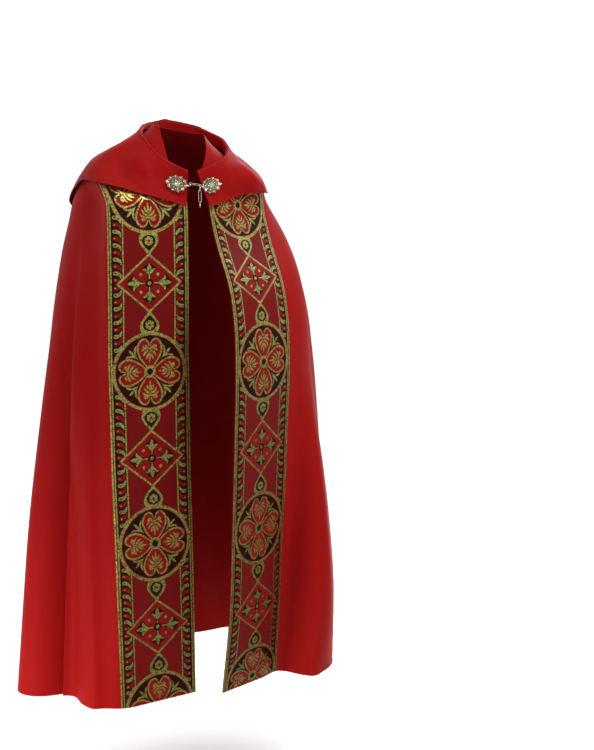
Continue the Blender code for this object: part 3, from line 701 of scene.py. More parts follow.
# ---------------------------------------------------------------------------------------------------
# The woven pattern, in centimetres: u across from the middle of the band, v along it from the middle of
# a roundel. A quarter of the repeat is drawn, from the roundel's middle to the lozenge's, and mirrored.
# A motif is drawn along its own axis, with side 1 or -1 of it, and then turned.

HALF_WIDTH = 9.75
HALF_REPEAT = 20.0
DRAWN_STEP = 0.22
GRID_STEP = 0.8
EDGE_STEP = 0.8
CRIMSON, MAROON, RED, GOLD = range(4)

HEART_LINE = (
    (1.15, 0.72), (2.3, 1.70), (3.7, 2.54), (5.05, 2.93), (6.3, 2.74), (7.1, 2.15), (7.4, 1.42), (7.2, 0.78),
    (6.6, 0.34), (5.9, 0.16),
)  # fmt: skip
HEART_WIDTHS = (0.28, 0.34, 0.38, 0.44, 0.44, 0.38, 0.26)
HEART_EDGE = 0.26
PALMETTE_STEM = ((5.5, 0.0), (4.2, 0.0), (2.95, 0.0), (1.9, 0.0))
PALMETTE_CURL = ((5.3, 0.12), (5.55, 0.62), (5.95, 0.95), (6.1, 1.45))
PALMETTE_LOBES = (
    ((4.3, 0.05), (2.75, 0.86), 0.24, -0.10),
    ((5.0, 0.08), (3.45, 1.62), 0.27, -0.12),
    ((5.5, 0.12), (4.55, 2.08), 0.26, -0.14),
)
SPRIG_PRONG = ((4.4, 0.0), (5.2, 0.26), (5.95, 0.80), (6.4, 1.5), (6.35, 2.1))
TEARDROP_OUTER = (
    (7.9, 0.9), (8.6, 1.75), (9.4, 2.22), (10.3, 2.38), (11.2, 2.12), (12.1, 1.5), (12.9, 0.8), (13.7, 0.0),
)  # fmt: skip
TEARDROP_INNER = (
    (9.2, 0.0), (9.35, 0.8), (9.85, 1.4), (10.5, 1.68), (11.2, 1.5), (11.9, 1.0), (12.45, 0.45), (12.8, 0.0),
)  # fmt: skip
FLOWER = 10.6
FLEURY_GROUND = ((1.0, 0.34), (1.9, 0.48), (2.45, 0.9), (2.85, 1.45), (3.1, 2.0), (3.7, 1.35), (4.75, 0.0))
FLEURY_HOOK = ((1.9, 0.05), (2.5, 0.5), (3.05, 1.05), (3.05, 1.62))


def smooth_loop(points, closed=True):
    """A smooth curve through the points, in steps short enough for the weave."""
    points = np.asarray(points, float)
    count = len(points)
    out = []
    for i in range(count if closed else count - 1):
        near = [k % count if closed else min(max(k, 0), count - 1) for k in range(i - 1, i + 3)]
        a, b, c, d = points[near]
        steps = max(1, round(float(np.linalg.norm(c - b)) / DRAWN_STEP))
        for t in np.arange(steps) / steps:
            curve = 2 * b + (c - a) * t + (2 * a - 5 * b + 4 * c - d) * t * t
            out.append(0.5 * (curve + (3 * b - a - 3 * c + d) * t**3))
    return np.array(out if closed else [*out, points[-1]])


def disc(centre, radius):
    count = max(8, round(2.0 * math.pi * radius / DRAWN_STEP))
    turns = np.linspace(0.0, 2.0 * math.pi, count, endpoint=False)
    return np.asarray(centre) + radius * np.stack([np.cos(turns), np.sin(turns)], axis=-1)


def straight(*corners):
    """A loop with straight edges, divided so that it follows the cloth."""
    corners = np.asarray(corners, float)
    points = []
    for a, b in zip(corners, np.roll(corners, -1, axis=0)):
        count = max(1, round(float(np.linalg.norm(b - a)) / EDGE_STEP))
        points.append(a + (b - a) * (np.arange(count) / count)[:, None])
    return np.concatenate(points)


def strip(u0, u1):
    return straight((u0, 0.0), (u1, 0.0), (u1, HALF_REPEAT), (u0, HALF_REPEAT))


def diamond(centre, half_u, half_v):
    return np.asarray(centre) + straight((half_u, 0.0), (0.0, half_v), (-half_u, 0.0), (0.0, -half_v))


def stroke(points, widths, side=1.0):
    """A line whose width changes along it."""
    line = smooth_loop(np.asarray(points) * [1.0, side], closed=False)
    reach = reaches(line)
    half = 0.5 * np.interp(reach / reach[-1], np.linspace(0.0, 1.0, len(widths)), widths)
    ahead = np.gradient(line, axis=0)
    ahead /= np.linalg.norm(ahead, axis=1)[:, None]
    aside = np.stack([-ahead[:, 1], ahead[:, 0]], axis=-1) * half[:, None]
    return np.concatenate([line + aside, (line - aside)[::-1]])


def leaf(root, tip, half_width, bend=0.0, side=1.0):
    """A leaf from its root to its tip, bent to one side."""
    root, tip = np.array([root, tip]) * [1.0, side]
    along = tip - root
    middle = root + along * 0.5 + np.array([-along[1], along[0]]) * bend * side
    return stroke([root, middle, tip], [w * half_width for w in (0.5, 1.7, 2.0, 1.5, 0.0)])


def both_sides(half):
    """A loop from its half: points that lie on the axis aren't doubled."""
    half = np.asarray(half, float)
    return np.concatenate([half, half[half[:, 1] != 0.0][::-1] * [1.0, -1.0]])


def turned(shapes, turn, centre=(0.0, 0.0), stretch=1.0):
    """Shapes drawn with their axis along u, stretched along it and turned about a centre."""
    t = math.radians(turn)
    turning = np.array([[math.cos(t), math.sin(t)], [-math.sin(t), math.cos(t)]])
    return [(kind, np.asarray(loop) * [stretch, 1.0] @ turning + centre) for kind, loop in shapes]


def heart(turn):
    """A heart-shaped petal of the roundel: its line curls in at the notch and holds a palmette."""
    edge_widths = [width + HEART_EDGE for width in HEART_WIDTHS]
    shapes = [(RED, stroke(HEART_LINE[:8], edge_widths, side)) for side in (1.0, -1.0)]
    shapes.append((RED, smooth_loop(both_sides(HEART_LINE))))
    shapes.append((GOLD, stroke(PALMETTE_STEM, (0.26, 0.34, 0.44, 0.60, 0.42, 0.0))))
    for side in (1.0, -1.0):
        shapes.append((GOLD, stroke(HEART_LINE, HEART_WIDTHS, side)))
        shapes.append((GOLD, stroke(PALMETTE_CURL, (0.3, 0.3, 0.36, 0.2), side)))
        shapes.append((GOLD, disc((5.78, 1.42 * side), 0.34)))
        shapes += [(GOLD, leaf(*lobe, side)) for lobe in PALMETTE_LOBES]
    shapes.append((RED, stroke([(5.35, 0.0), (4.4, 0.0), (3.3, 0.0)], (0.1, 0.16, 0.0))))
    return turned(shapes, turn)


def sprig(turn):
    """The three-pronged sprig between two hearts."""
    shapes = [(GOLD, stroke([(3.7, 0.0), (4.5, 0.0), (5.3, 0.0)], (0.0, 0.18, 0.22)))]
    shapes.append((GOLD, leaf((5.1, 0.0), (7.5, 0.0), 0.30)))
    for side in (1.0, -1.0):
        shapes.append((GOLD, stroke(SPRIG_PRONG, (0.10, 0.26, 0.42, 0.48, 0.40, 0.12), side)))
    return turned(shapes, turn)


def teardrop():
    """The drop that joins a roundel to a lozenge, with a flower in it."""
    shapes = [(GOLD, smooth_loop(both_sides(TEARDROP_OUTER)))]
    shapes.append((MAROON, smooth_loop(both_sides(TEARDROP_INNER))))
    for k in range(6):
        petal = (FLOWER + 0.7 * math.cos(k * math.pi / 3), 0.7 * math.sin(k * math.pi / 3))
        shapes.append((GOLD, disc(petal, 0.42)))
    shapes += [(GOLD, disc((FLOWER, 0.0), 0.8)), (RED, disc((FLOWER, 0.0), 0.34))]
    return turned(shapes, 90.0)


def fleury_arm(turn, stretch):
    """An arm of the cross in the lozenge, with its three-lobed end."""
    shapes = [(MAROON, both_sides(FLEURY_GROUND))]
    shapes.append((GOLD, stroke([(0.9, 0.0), (2.0, 0.0), (3.0, 0.0)], (0.28, 0.36, 0.7))))
    shapes.append((GOLD, leaf((2.2, 0.0), (4.5, 0.0), 0.5)))
    shapes += [(GOLD, stroke(FLEURY_HOOK, (0.3, 0.5, 0.55, 0.15), side)) for side in (1.0, -1.0)]
    return turned(shapes, turn, (0.0, HALF_REPEAT), stretch)


def border_leaf(v, kind, eye):
    """A comma-shaped leaf of the border, with an eye in its head."""
    head = (8.03, v)
    tail = [head, (7.45, v + 0.12), (6.92, v + 0.62), (6.74, v + 1.42)]
    shapes = [(kind, disc(head, 0.48)), (kind, stroke(tail, (0.86, 0.84, 0.56, 0.0)))]
    return [*shapes, (eye, disc((8.05, v), 0.2))]


def woven_shapes():
    """The quarter repeat's shapes, each over the ones before it."""
    h = HALF_REPEAT
    shapes = [(CRIMSON, strip(0.0, HALF_WIDTH)), (MAROON, strip(6.48, 8.9)), (GOLD, strip(6.14, 6.48))]
    shapes += [(GOLD, strip(8.86, HALF_WIDTH)), (RED, strip(9.18, 9.38)), (MAROON, strip(9.24, 9.32))]
    for k in range(11):
        shapes += border_leaf(h - 0.9 - 1.54 * k, *((GOLD, RED) if k % 2 else (RED, GOLD)))
    shapes += teardrop()
    shapes += [(GOLD, diamond((0.0, h), 8.05, 6.7)), (RED, diamond((0.0, h), 7.36, 6.12))]
    for turn, stretch in ((-90.0, 1.0), (0.0, 1.24)):
        shapes += fleury_arm(turn, stretch)
    shapes += [(MAROON, disc((0.0, h), 0.95)), (GOLD, disc((0.0, h), 0.45))]
    shapes.append((GOLD, diamond((2.1, h - 1.95), 0.45, 0.45)))
    rings = ((GOLD, 9.0), (RED, 8.30), (MAROON, 8.14))
    shapes += [(kind, disc((0.0, 0.0), radius)) for kind, radius in rings]
    shapes += sprig(45.0) + heart(0.0) + heart(90.0)
    return shapes + [(GOLD, disc((0.0, 0.0), 1.4)), (MAROON, disc((0.0, 0.0), 0.75))]


def inside(points, loop):
    after = np.roll(loop, -1, axis=0)
    x, y = points[:, 0, None], points[:, 1, None]
    crosses = (loop[:, 1] > y) != (after[:, 1] > y)
    rise = np.where(after[:, 1] == loop[:, 1], 1.0, after[:, 1] - loop[:, 1])
    at = loop[:, 0] + (y - loop[:, 1]) * (after[:, 0] - loop[:, 0]) / rise
    return (crosses & (x < at)).sum(axis=1) % 2 == 1


@functools.lru_cache(maxsize=None)
def woven_quarter():
    """Points, triangles and yarns of a quarter of the repeat."""
    shapes = woven_shapes()
    points, faces = [], []
    for _, loop in shapes:
        faces.append(list(range(len(points), len(points) + len(loop))))
        points += loop.tolist()
    for u in np.arange(0.5 * GRID_STEP, HALF_WIDTH, GRID_STEP).tolist():
        points += [(u, v) for v in np.arange(0.5 * GRID_STEP, HALF_REPEAT, GRID_STEP).tolist()]
    made = delaunay_2d_cdt(points, [], faces, 0, 1e-5, False)
    verts = np.array([tuple(point) for point in made[0]])
    triangles = np.array([tuple(face) for face in made[2]])
    middles = verts[triangles].mean(axis=1)
    inner = (middles > 0.0).all(axis=1) & (middles < [HALF_WIDTH, HALF_REPEAT]).all(axis=1)
    triangles, middles = triangles[inner], middles[inner]
    kinds = np.zeros(len(triangles), int)
    for kind, loop in shapes:
        kinds[inside(middles, loop)] = kind
    used, index = np.unique(triangles, return_inverse=True)
    return verts[used], index.reshape(-1, 3), kinds


def woven_length(low, high):
    """Points, triangles and yarns of the whole band from v = low to v = high, in centimetres."""
    verts, triangles, kinds = woven_quarter()
    points, faces, yarns = [], [], []
    for tile in range(math.floor(low / HALF_REPEAT), math.ceil(high / HALF_REPEAT)):
        for side in (1.0, -1.0):
            v = verts[:, 1] if tile % 2 == 0 else HALF_REPEAT - verts[:, 1]
            flip = (side < 0) != (tile % 2 != 0)
            faces.append((triangles[:, ::-1] if flip else triangles) + len(points) * len(verts))
            points.append(np.stack([verts[:, 0] * side, v + tile * HALF_REPEAT], axis=-1))
            yarns.append(kinds)
    points = np.concatenate(points)
    _, first, index = np.unique(np.round(points, 4), axis=0, return_index=True, return_inverse=True)
    return points[first], index.reshape(-1)[np.concatenate(faces)], np.concatenate(yarns)


# ---------------------------------------------------------------------------------------------------
# Settings that a user would change.


def linear(code):
    """An sRGB hex colour as linear red, green and blue."""
    parts = [int(code[i : i + 2], 16) / 255.0 for i in (1, 3, 5)]
    return tuple(c / 12.92 if c <= 0.04045 else ((c + 0.055) / 1.055) ** 2.4 for c in parts)


def length_property(name, description, default):
    return bpy.props.FloatProperty(
        name=name, description=description, default=default, min=0.0, precision=5, unit="LENGTH"
    )


def colour_property(name, description, code):
    return bpy.props.FloatVectorProperty(
        name=name, description=description, default=linear(code), subtype="COLOR", size=3, min=0.0, max=1.0
    )


class CopeSizes(bpy.types.PropertyGroup):
    """Sizes of the cloth, the woven pattern and the stitching."""

    cloth: length_property("Cloth", "Thickness of the red cloth", 1.2 * MM)
    band_cloth: length_property("Band cloth", "Thickness of the woven bands", 1.2 * MM)
    pattern_right: length_property("Pattern, right band", "From the band's top to a roundel's middle", 0.0757)
    pattern_left: length_property("Pattern, left band", "From the band's top to a roundel's middle", 0.078)
    stitch_length: length_property("Stitch length", "Length of one topstitch", 3.0 * MM)
    stitch_pitch: length_property("Stitch pitch", "Distance from one topstitch to the next", 3.5 * MM)
    thread: length_property("Thread", "Thickness of the sewing thread", 0.5 * MM)
    floor_drop: length_property("Floor", "How far the floor lies below the wearer's neck", 1.52)


class CopeColours(bpy.types.PropertyGroup):
    """Colours of the cloth, the yarns and the metal."""

    red_cloth: colour_property("Red cloth", "Matt red sateen", "#7B0807")
    crimson_yarn: colour_property("Crimson ground", "Satin ground of the bands", "#5E0505")
    bright_yarn: colour_property("Bright red", "Red fillings of the pattern", "#6E0606")
    maroon_yarn: colour_property("Maroon", "Darkest yarn of the pattern", "#200605")
    gold_dark: colour_property("Gold yarn, shaded", "Lurex where it turns from the light", "#30260A")
    gold_bright: colour_property("Gold yarn, lit", "Lurex where it catches the light", "#98934A")
    metal: colour_property("Cast metal", "Pale gilt of the clasp and chain", "#DAD3B4")
    studio: colour_property("Studio", "Floor of the studio", "#FCFCFC")


# ---------------------------------------------------------------------------------------------------
# Finishes. Each is made once.


def join(tree, made, links):
    """Sets a node's inputs, each to a value or to another node's output."""
    for socket, value in links.items():
        if isinstance(value, bpy.types.Node):
            value = value.outputs[0]
        if isinstance(value, bpy.types.NodeSocket):
            tree.links.new(value, made.inputs[socket])
        else:
            made.inputs[socket].default_value = value


def node(tree, kind, links, stops=(), **settings):
    """Adds a node with its settings and links. stops are the places and colours of a colour ramp."""
    made = tree.nodes.new(kind)
    for name, value in settings.items():
        setattr(made, name, value)
    join(tree, made, links)
    for k, (place, colour) in enumerate(stops):
        elements = made.color_ramp.elements
        element = elements[k] if k < len(elements) else elements.new(place)
        element.position = place
        element.color = (*colour, 1.0)
    return made


def new_finish(name):
    """An empty material and its tree, with a Principled shader joined to the output."""
    made = bpy.data.materials.new(name)
    made.use_nodes = True
    tree = made.node_tree
    tree.nodes.clear()
    shader = node(tree, "ShaderNodeBsdfPrincipled", {})
    node(tree, "ShaderNodeOutputMaterial", {"Surface": shader})
    return made, tree, shader


def shades(colour, *stops):
    """Stops of a colour ramp, each a place and how bright the colour is there."""
    return [(place, tuple(c * part for c in colour)) for place, part in stops]


@functools.lru_cache(maxsize=None)
def finish_red_cloth():
    """Matt polyester sateen: a smooth fine weave that lifts to a soft pinkish bloom where it turns away
    from the eye, with faint long streaks where the yarns vary."""
    made, tree, shader = new_finish("red polyester sateen, woven")
    place = node(tree, "ShaderNodeUVMap", {}, uv_map="cloth")
    # Warp slubs: 2 mm across and 120 mm long.
    slub_place = node(tree, "ShaderNodeMapping", {"Vector": place, "Scale": (480.0, 8.0, 1.0)})
    slubs = node(tree, "ShaderNodeTexNoise", {"Vector": slub_place, "Scale": 1.0, "Detail": 2.0})
    # Broad unevenness of the dye and of how the cloth was pressed: 90 mm.
    cloud = node(tree, "ShaderNodeTexNoise", {"Vector": place, "Scale": 11.0, "Detail": 3.0}).outputs["Fac"]
    mixed = node(tree, "ShaderNodeMath", {0: slubs.outputs["Fac"], 1: cloud}, operation="ADD")
    halved = node(tree, "ShaderNodeMath", {0: mixed, 1: 0.5}, operation="MULTIPLY")
    stops = shades(bpy.context.scene.cope_colours.red_cloth, (0.30, 0.94), (0.70, 1.05))
    # The weave: real threads are 0.3 mm apart, too fine to show, so they are drawn 1.2 mm apart.
    warp, weft = (
        node(tree, "ShaderNodeTexWave", {"Vector": place, "Scale": 130.0}, bands_direction=way).outputs["Fac"]
        for way in "XY"
    )
    weave = node(tree, "ShaderNodeMath", {0: warp, 1: weft}, operation="MULTIPLY")
    fine = node(tree, "ShaderNodeBump", {"Height": weave, "Strength": 0.10, "Distance": 0.0002})
    pressed = {"Height": cloud, "Strength": 0.06, "Distance": 0.004, "Normal": fine}
    join(tree, shader, {
        "Base Color": node(tree, "ShaderNodeValToRGB", {"Fac": halved}, stops),
        "Normal": node(tree, "ShaderNodeBump", pressed),
        "Roughness": 0.62,
        "Specular IOR Level": 0.035,
        "Sheen Weight": 0.04,
        "Sheen Roughness": 0.4,
        "Sheen Tint": (1.0, 0.45, 0.48, 1.0),
    })  # fmt: skip
    return made


def finish_yarn(name, colour, roughness, sheen):
    """Floats of rayon yarn in the woven band: a satin gloss broken by fine ribs across the band."""
    made, tree, shader = new_finish(name)
    place = node(tree, "ShaderNodeUVMap", {}, uv_map="cloth")
    # Picks of weft: real ones are 0.5 mm apart, drawn 1.5 mm apart so that they show.
    ribs = node(tree, "ShaderNodeTexWave", {"Vector": place, "Scale": 105.0}, bands_direction="Y")
    cloud = node(tree, "ShaderNodeTexNoise", {"Vector": place, "Scale": 260.0, "Detail": 2.0})
    parts = {0: ribs.outputs["Fac"], 1: cloud.outputs["Fac"]}
    mixed = node(tree, "ShaderNodeMath", parts, operation="MULTIPLY")
    stops = shades(colour, (0.0, 0.80), (0.7, 1.12))
    join(tree, shader, {
        "Base Color": node(tree, "ShaderNodeValToRGB", {"Fac": mixed}, stops),
        "Normal": node(tree, "ShaderNodeBump", {"Height": mixed, "Strength": 0.25, "Distance": 0.0003}),
        "Roughness": roughness,
        "Specular IOR Level": 0.05,
        "Sheen Weight": sheen,
        "Sheen Roughness": 0.4,
    })  # fmt: skip
    return made


def finish_lurex():
    """Flat metallised polyester yarn, woven in: each float is a tiny mirror at its own angle in the bump, and
    the gold's colour is painted into bright yellow and olive specks, shaded and lit gold that stand in for
    its shade and glints."""
    made, tree, shader = new_finish("gold lurex yarn, woven")
    colours = bpy.context.scene.cope_colours
    place = node(tree, "ShaderNodeUVMap", {}, uv_map="cloth")
    # Each float lies across the band, 1.6 mm by 2.5 mm, and has its own tilt in the bump and its own painted
    # shade, between shaded and lit gold, in the colour.
    floats = node(tree, "ShaderNodeMapping", {"Vector": place, "Scale": (400.0, 620.0, 1.0)})
    cells = node(tree, "ShaderNodeTexVoronoi", {"Vector": floats, "Scale": 1.0})
    own = node(tree, "ShaderNodeSeparateColor", {"Color": cells.outputs["Color"]})
    # Patches of 6 mm of painted light and shade on the gold.
    lit_patches = node(tree, "ShaderNodeTexNoise", {"Vector": place, "Scale": 160.0, "Detail": 3.0})
    spread = node(tree, "ShaderNodeMath", {0: lit_patches.outputs["Fac"], 1: 0.9}, operation="MULTIPLY")
    mixed = node(tree, "ShaderNodeMath", {0: own.outputs["Red"], 1: spread}, operation="ADD")
    # The ramp paints the gold from shaded to lit: painted shade and painted highlight.
    stops = shades(colours.gold_dark, (0.42, 1.0)) + shades(colours.gold_bright, (0.80, 0.50), (1.0, 1.0))
    parts = {0: own.outputs["Green"], 1: cells.outputs["Distance"]}
    rise = node(tree, "ShaderNodeMath", parts, operation="ADD")
    join(tree, shader, {
        "Base Color": node(tree, "ShaderNodeValToRGB", {"Fac": mixed}, stops),
        "Normal": node(tree, "ShaderNodeBump", {"Height": rise, "Strength": 0.8, "Distance": 0.0005}),
        "Metallic": 0.85,
        "Roughness": 0.36,
    })  # fmt: skip
    return made


@functools.lru_cache(maxsize=None)
def band_finishes():
    """The band's yarns, in the order of CRIMSON, MAROON, RED and GOLD."""
    colours = bpy.context.scene.cope_colours
    return (
        finish_yarn("crimson rayon, satin ground", colours.crimson_yarn, 0.48, 0.02),
        finish_yarn("maroon rayon, woven", colours.maroon_yarn, 0.60, 0.0),
        finish_yarn("bright red rayon, woven", colours.bright_yarn, 0.50, 0.02),
        finish_lurex(),
    )


@functools.lru_cache(maxsize=None)
def finish_thread():
    """Spun polyester sewing thread, dyed to the cloth and a little deeper, with its twist."""
    made, tree, shader = new_finish("red sewing thread, twisted")
    place = node(tree, "ShaderNodeTexCoord", {}).outputs["Object"]
    twist = node(tree, "ShaderNodeTexNoise", {"Vector": place, "Scale": 1400.0}).outputs["Fac"]
    stops = shades(bpy.context.scene.cope_colours.red_cloth, (0.3, 0.75), (0.7, 1.1))
    join(tree, shader, {
        "Base Color": node(tree, "ShaderNodeValToRGB", {"Fac": twist}, stops),
        "Normal": node(tree, "ShaderNodeBump", {"Height": twist, "Strength": 0.4, "Distance": 0.0002}),
        "Roughness": 0.6,
        "Specular IOR Level": 0.08,
    })  # fmt: skip
    return made


@functools.lru_cache(maxsize=None)
def finish_cast_metal():
    """Zinc casting plated a pale champagne gold: bright on what stands out, and darker and browner where it
    lies low, painted shade in its recesses."""
    made, tree, shader = new_finish("zinc casting, plated pale gold")
    place = node(tree, "ShaderNodeTexCoord", {}).outputs["Object"]
    depth = node(tree, "ShaderNodeAttribute", {}, attribute_name="hollow")
    grain = node(tree, "ShaderNodeTexNoise", {"Vector": place, "Scale": 900.0, "Detail": 3.0}).outputs["Fac"]
    spread = node(tree, "ShaderNodeMath", {0: grain, 1: 0.35}, operation="MULTIPLY")
    # How low the casting lies, broken by grain: painted shade in its recesses.
    recess_shade = node(tree, "ShaderNodeMath", {0: depth.outputs["Fac"], 1: spread}, operation="ADD")
    stops = shades(bpy.context.scene.cope_colours.metal, (0.35, 1.0), (0.95, 0.32))
    join(tree, shader, {
        "Base Color": node(tree, "ShaderNodeValToRGB", {"Fac": recess_shade}, stops),
        "Normal": node(tree, "ShaderNodeBump", {"Height": grain, "Strength": 0.25, "Distance": 0.0002}),
        "Metallic": 1.0,
        "Roughness": 0.27,
    })  # fmt: skip
    return made


def finish_studio():
    """Matt painted studio board: an even white with the faintest roller texture."""
    made, tree, shader = new_finish("matt white studio board")
    place = node(tree, "ShaderNodeTexCoord", {}).outputs["Object"]
    roller = node(tree, "ShaderNodeTexNoise", {"Vector": place, "Scale": 60.0}).outputs["Fac"]
    stops = shades(bpy.context.scene.cope_colours.studio, (0.3, 0.985), (0.7, 1.0))
    shade = node(tree, "ShaderNodeValToRGB", {"Fac": roller}, stops)
    join(tree, shader, {"Base Color": shade, "Roughness": 0.9, "Specular IOR Level": 0.1})
    return made


# ---------------------------------------------------------------------------------------------------
# Making meshes.

STITCH_RINGS = 5
STITCH_SIDES = 6
# How much thinner a stitch is at its ends, how high its middle lies and how far its ends go down, as
# parts of the thread's thickness.
STITCH_TAPER = 0.45
STITCH_LIFT = 0.35
STITCH_DIVE = 0.75
PATTERN_OVER = 0.01
LEAST_AREA = 1e-10


def select(*objects):
    """Selects these objects alone, and makes the first of them active."""
    bpy.ops.object.select_all(action="DESELECT")
    for each in objects:
        each.select_set(True)
    if objects:
        bpy.context.view_layer.objects.active = objects[0]


def new_mesh(name, points, faces, finishes, kinds=None, uv=None):
    """A mesh object at the origin. uv gives each point's place on its cloth, in metres."""
    mesh = bpy.data.meshes.new(name)
    mesh.from_pydata([tuple(map(float, p)) for p in points], [], [tuple(map(int, f)) for f in faces])
    for each in finishes:
        mesh.materials.append(each)
    if kinds is not None:
        mesh.polygons.foreach_set("material_index", np.asarray(kinds, np.int32))
    if uv is not None:
        corners = np.empty(len(mesh.loops), np.int32)
        mesh.loops.foreach_get("vertex_index", corners)
        layer = mesh.uv_layers.new(name="cloth")
        layer.data.foreach_set("uv", np.asarray(uv, np.float32)[corners].ravel())
    mesh.shade_smooth()
    mesh.validate()
    made = bpy.data.objects.new(name, mesh)
    bpy.context.scene.collection.objects.link(made)
    return made


def cloth_shell(name, grid):
    """A wall of red cloth whose outer face is the grid, with its place on the cloth as its UV map."""
    rows, columns = grid.shape[:2]
    corners = (np.arange(rows - 1)[:, None] * columns + np.arange(columns - 1)).ravel()
    faces = np.stack([corners, corners + 1, corners + columns + 1, corners + columns], axis=-1)
    along = np.stack([reaches(column) for column in grid.swapaxes(0, 1)], axis=1)
    across = np.stack([reaches(row) for row in grid])
    across -= across[:, columns // 2, None]
    uv = np.stack([across, along], axis=-1).reshape(-1, 2)
    made = new_mesh(name, grid.reshape(-1, 3), faces, [finish_red_cloth()], uv=uv)
    wall = made.modifiers.new("wall", "SOLIDIFY")
    wall.thickness = bpy.context.scene.cope_sizes.cloth
    wall.offset = -1.0
    select(made)
    bpy.ops.object.modifier_apply(modifier=wall.name)
    bpy.ops.object.shade_smooth_by_angle(angle=math.radians(50.0))
    return made


def woven_piece(name, lay, low, middle):
    """A woven band on its lay, from low to the lay's end, in metres along it, where low is a number for
    each of its columns. middle is where a roundel's middle lies along it."""
    thickness = bpy.context.scene.cope_sizes.band_cloth
    end = lay.along[-1]
    first = (float(np.min(low)) - middle) / CM - PATTERN_OVER
    points, faces, kinds = woven_length(first, (float(end) - middle) / CM + PATTERN_OVER)
    across = points[:, 0] * CM
    along = np.clip(points[:, 1] * CM + middle, np.interp(across, lay.across, low), end)
    a, b, c = (np.stack([across, along], axis=-1)[faces[:, k]] for k in range(3))
    kept = np.abs(np.cross(b - a, c - a)) > LEAST_AREA
    faces, kinds = faces[kept], kinds[kept]
    used, index = np.unique(faces, return_inverse=True)
    faces = index.reshape(-1, 3)
    across, along = across[used], along[used]
    outer, normals = on_lay(lay, across, along, SEAM_GAP + thickness)
    a, b, c = (outer[faces[:, k]] for k in range(3))
    if np.einsum("ij,ij->i", np.cross(b - a, c - a), normals[faces[:, 0]]).sum() < 0.0:
        faces = faces[:, ::-1]
    count = len(outer)
    edges = np.concatenate([faces[:, [0, 1]], faces[:, [1, 2]], faces[:, [2, 0]]])
    _, first, number = np.unique(np.sort(edges, axis=1), axis=0, return_index=True, return_counts=True)
    rim = first[number == 1]
    a, b = edges[rim].T
    back = faces[:, ::-1] + count
    rims = np.stack([b, a, a + count, b + count], axis=-1)
    made = new_mesh(
        name,
        np.concatenate([outer, outer - normals * thickness]),
        [*faces.tolist(), *back.tolist(), *rims.tolist()],
        band_finishes(),
        kinds=np.concatenate([kinds, kinds, np.tile(kinds, 3)[rim]]),
        uv=np.tile(np.stack([across, along], axis=-1), (2, 1)),
    )
    facing = np.zeros((len(made.data.loops), 3))
    facing[: 6 * len(faces)] = np.concatenate([normals, -normals])[np.concatenate([faces, back]).ravel()]
    made.data.normals_split_custom_set(facing.tolist())
    return made


def stitches(name, path, normals):
    """Topstitches along a path on the cloth: each rises from the cloth, lies on it and goes back in."""
    s = bpy.context.scene.cope_sizes
    reach = reaches(path)
    turns = np.arange(STITCH_SIDES) * 2.0 * math.pi / STITCH_SIDES
    t = np.linspace(-1.0, 1.0, STITCH_RINGS)[:, None]
    swell = 0.5 * s.thread * (1.0 - STITCH_TAPER * t**4)
    lift = STITCH_LIFT * s.thread - STITCH_DIVE * s.thread * t**4
    ring = list(range(STITCH_SIDES))
    last = (STITCH_RINGS - 1) * STITCH_SIDES
    sides = [(k + m, k + m + STITCH_SIDES, k + n + STITCH_SIDES, k + n)
             for k in range(0, last, STITCH_SIDES) for m, n in zip(ring, ring[1:] + ring[:1])]  # fmt: skip
    one_stitch = [*sides, ring, [last + m for m in reversed(ring)]]
    points, faces = [], []
    for start in np.arange(0.5 * s.stitch_pitch, reach[-1] - s.stitch_length, s.stitch_pitch):
        places = start + np.linspace(0.0, s.stitch_length, STITCH_RINGS)
        centre, up = (
            np.stack([np.interp(places, reach, column) for column in line.T], axis=-1)
            for line in (path, normals)
        )
        up /= np.linalg.norm(up, axis=1)[:, None]
        ahead = centre[-1] - centre[0]
        side = np.cross(ahead / np.linalg.norm(ahead), up)
        rings = [centre + up * lift + (side * math.cos(turn) + up * math.sin(turn)) * swell for turn in turns]
        faces += [[len(points) + corner for corner in face] for face in one_stitch]
        points.extend(np.stack(rings, axis=1).reshape(-1, 3))
    return new_mesh(name, points, faces, [finish_thread()])


def ready(obj, body, slot, *nodes):
    """Parents a finished piece to the empty of the body it rides on, and hides the solids it stands for. slot
    is not used.
    """
    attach(obj, body)
    if nodes:
        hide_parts(*nodes)


# ---------------------------------------------------------------------------------------------------
# The clasp and its chain.

BOSS_WIDTH = 0.049
BOSS_HEIGHT = 0.039
BOSS_PETALS = 10
BOSS_ROUND = 0.93
BOSS_LOBE = 0.055
BOSS_OUTER_TIP = 0.14
BOSS_INNER_TIP = 0.12
BOSSES = table(
    "name x z turn tilt side link",
    ("clasp_boss_right", -0.0490, -0.0765, -13.0, -13.0, -1.0, "chain_link_right"),
    ("clasp_boss_left", 0.0365, -0.0810, 7.0, 7.0, 1.0, "chain_ring"),
)
BOSS_PLATE = 1.1 * MM
BOSS_PLATE_REACH = 0.70
BOSS_PLATE_EDGE = 0.9 * MM
BOSS_PLATE_SINK = 0.35 * MM
BOSS_PLATE_SLOPE = 0.5 * MM
BOSS_TIP_LIFT = Vector((0.0, 0.0, 1.8 * MM))
# The rim is modelled with a wire of 0.1 in radius, which these make 0.85 mm and 0.7 mm.
BOSS_RIM_REACH = 0.90
BOSS_RIM_SPREAD = 8.5 * MM
BOSS_RIM_HEIGHT = 7.0 * MM
BOSS_RIM_LIFT = 0.9 * MM
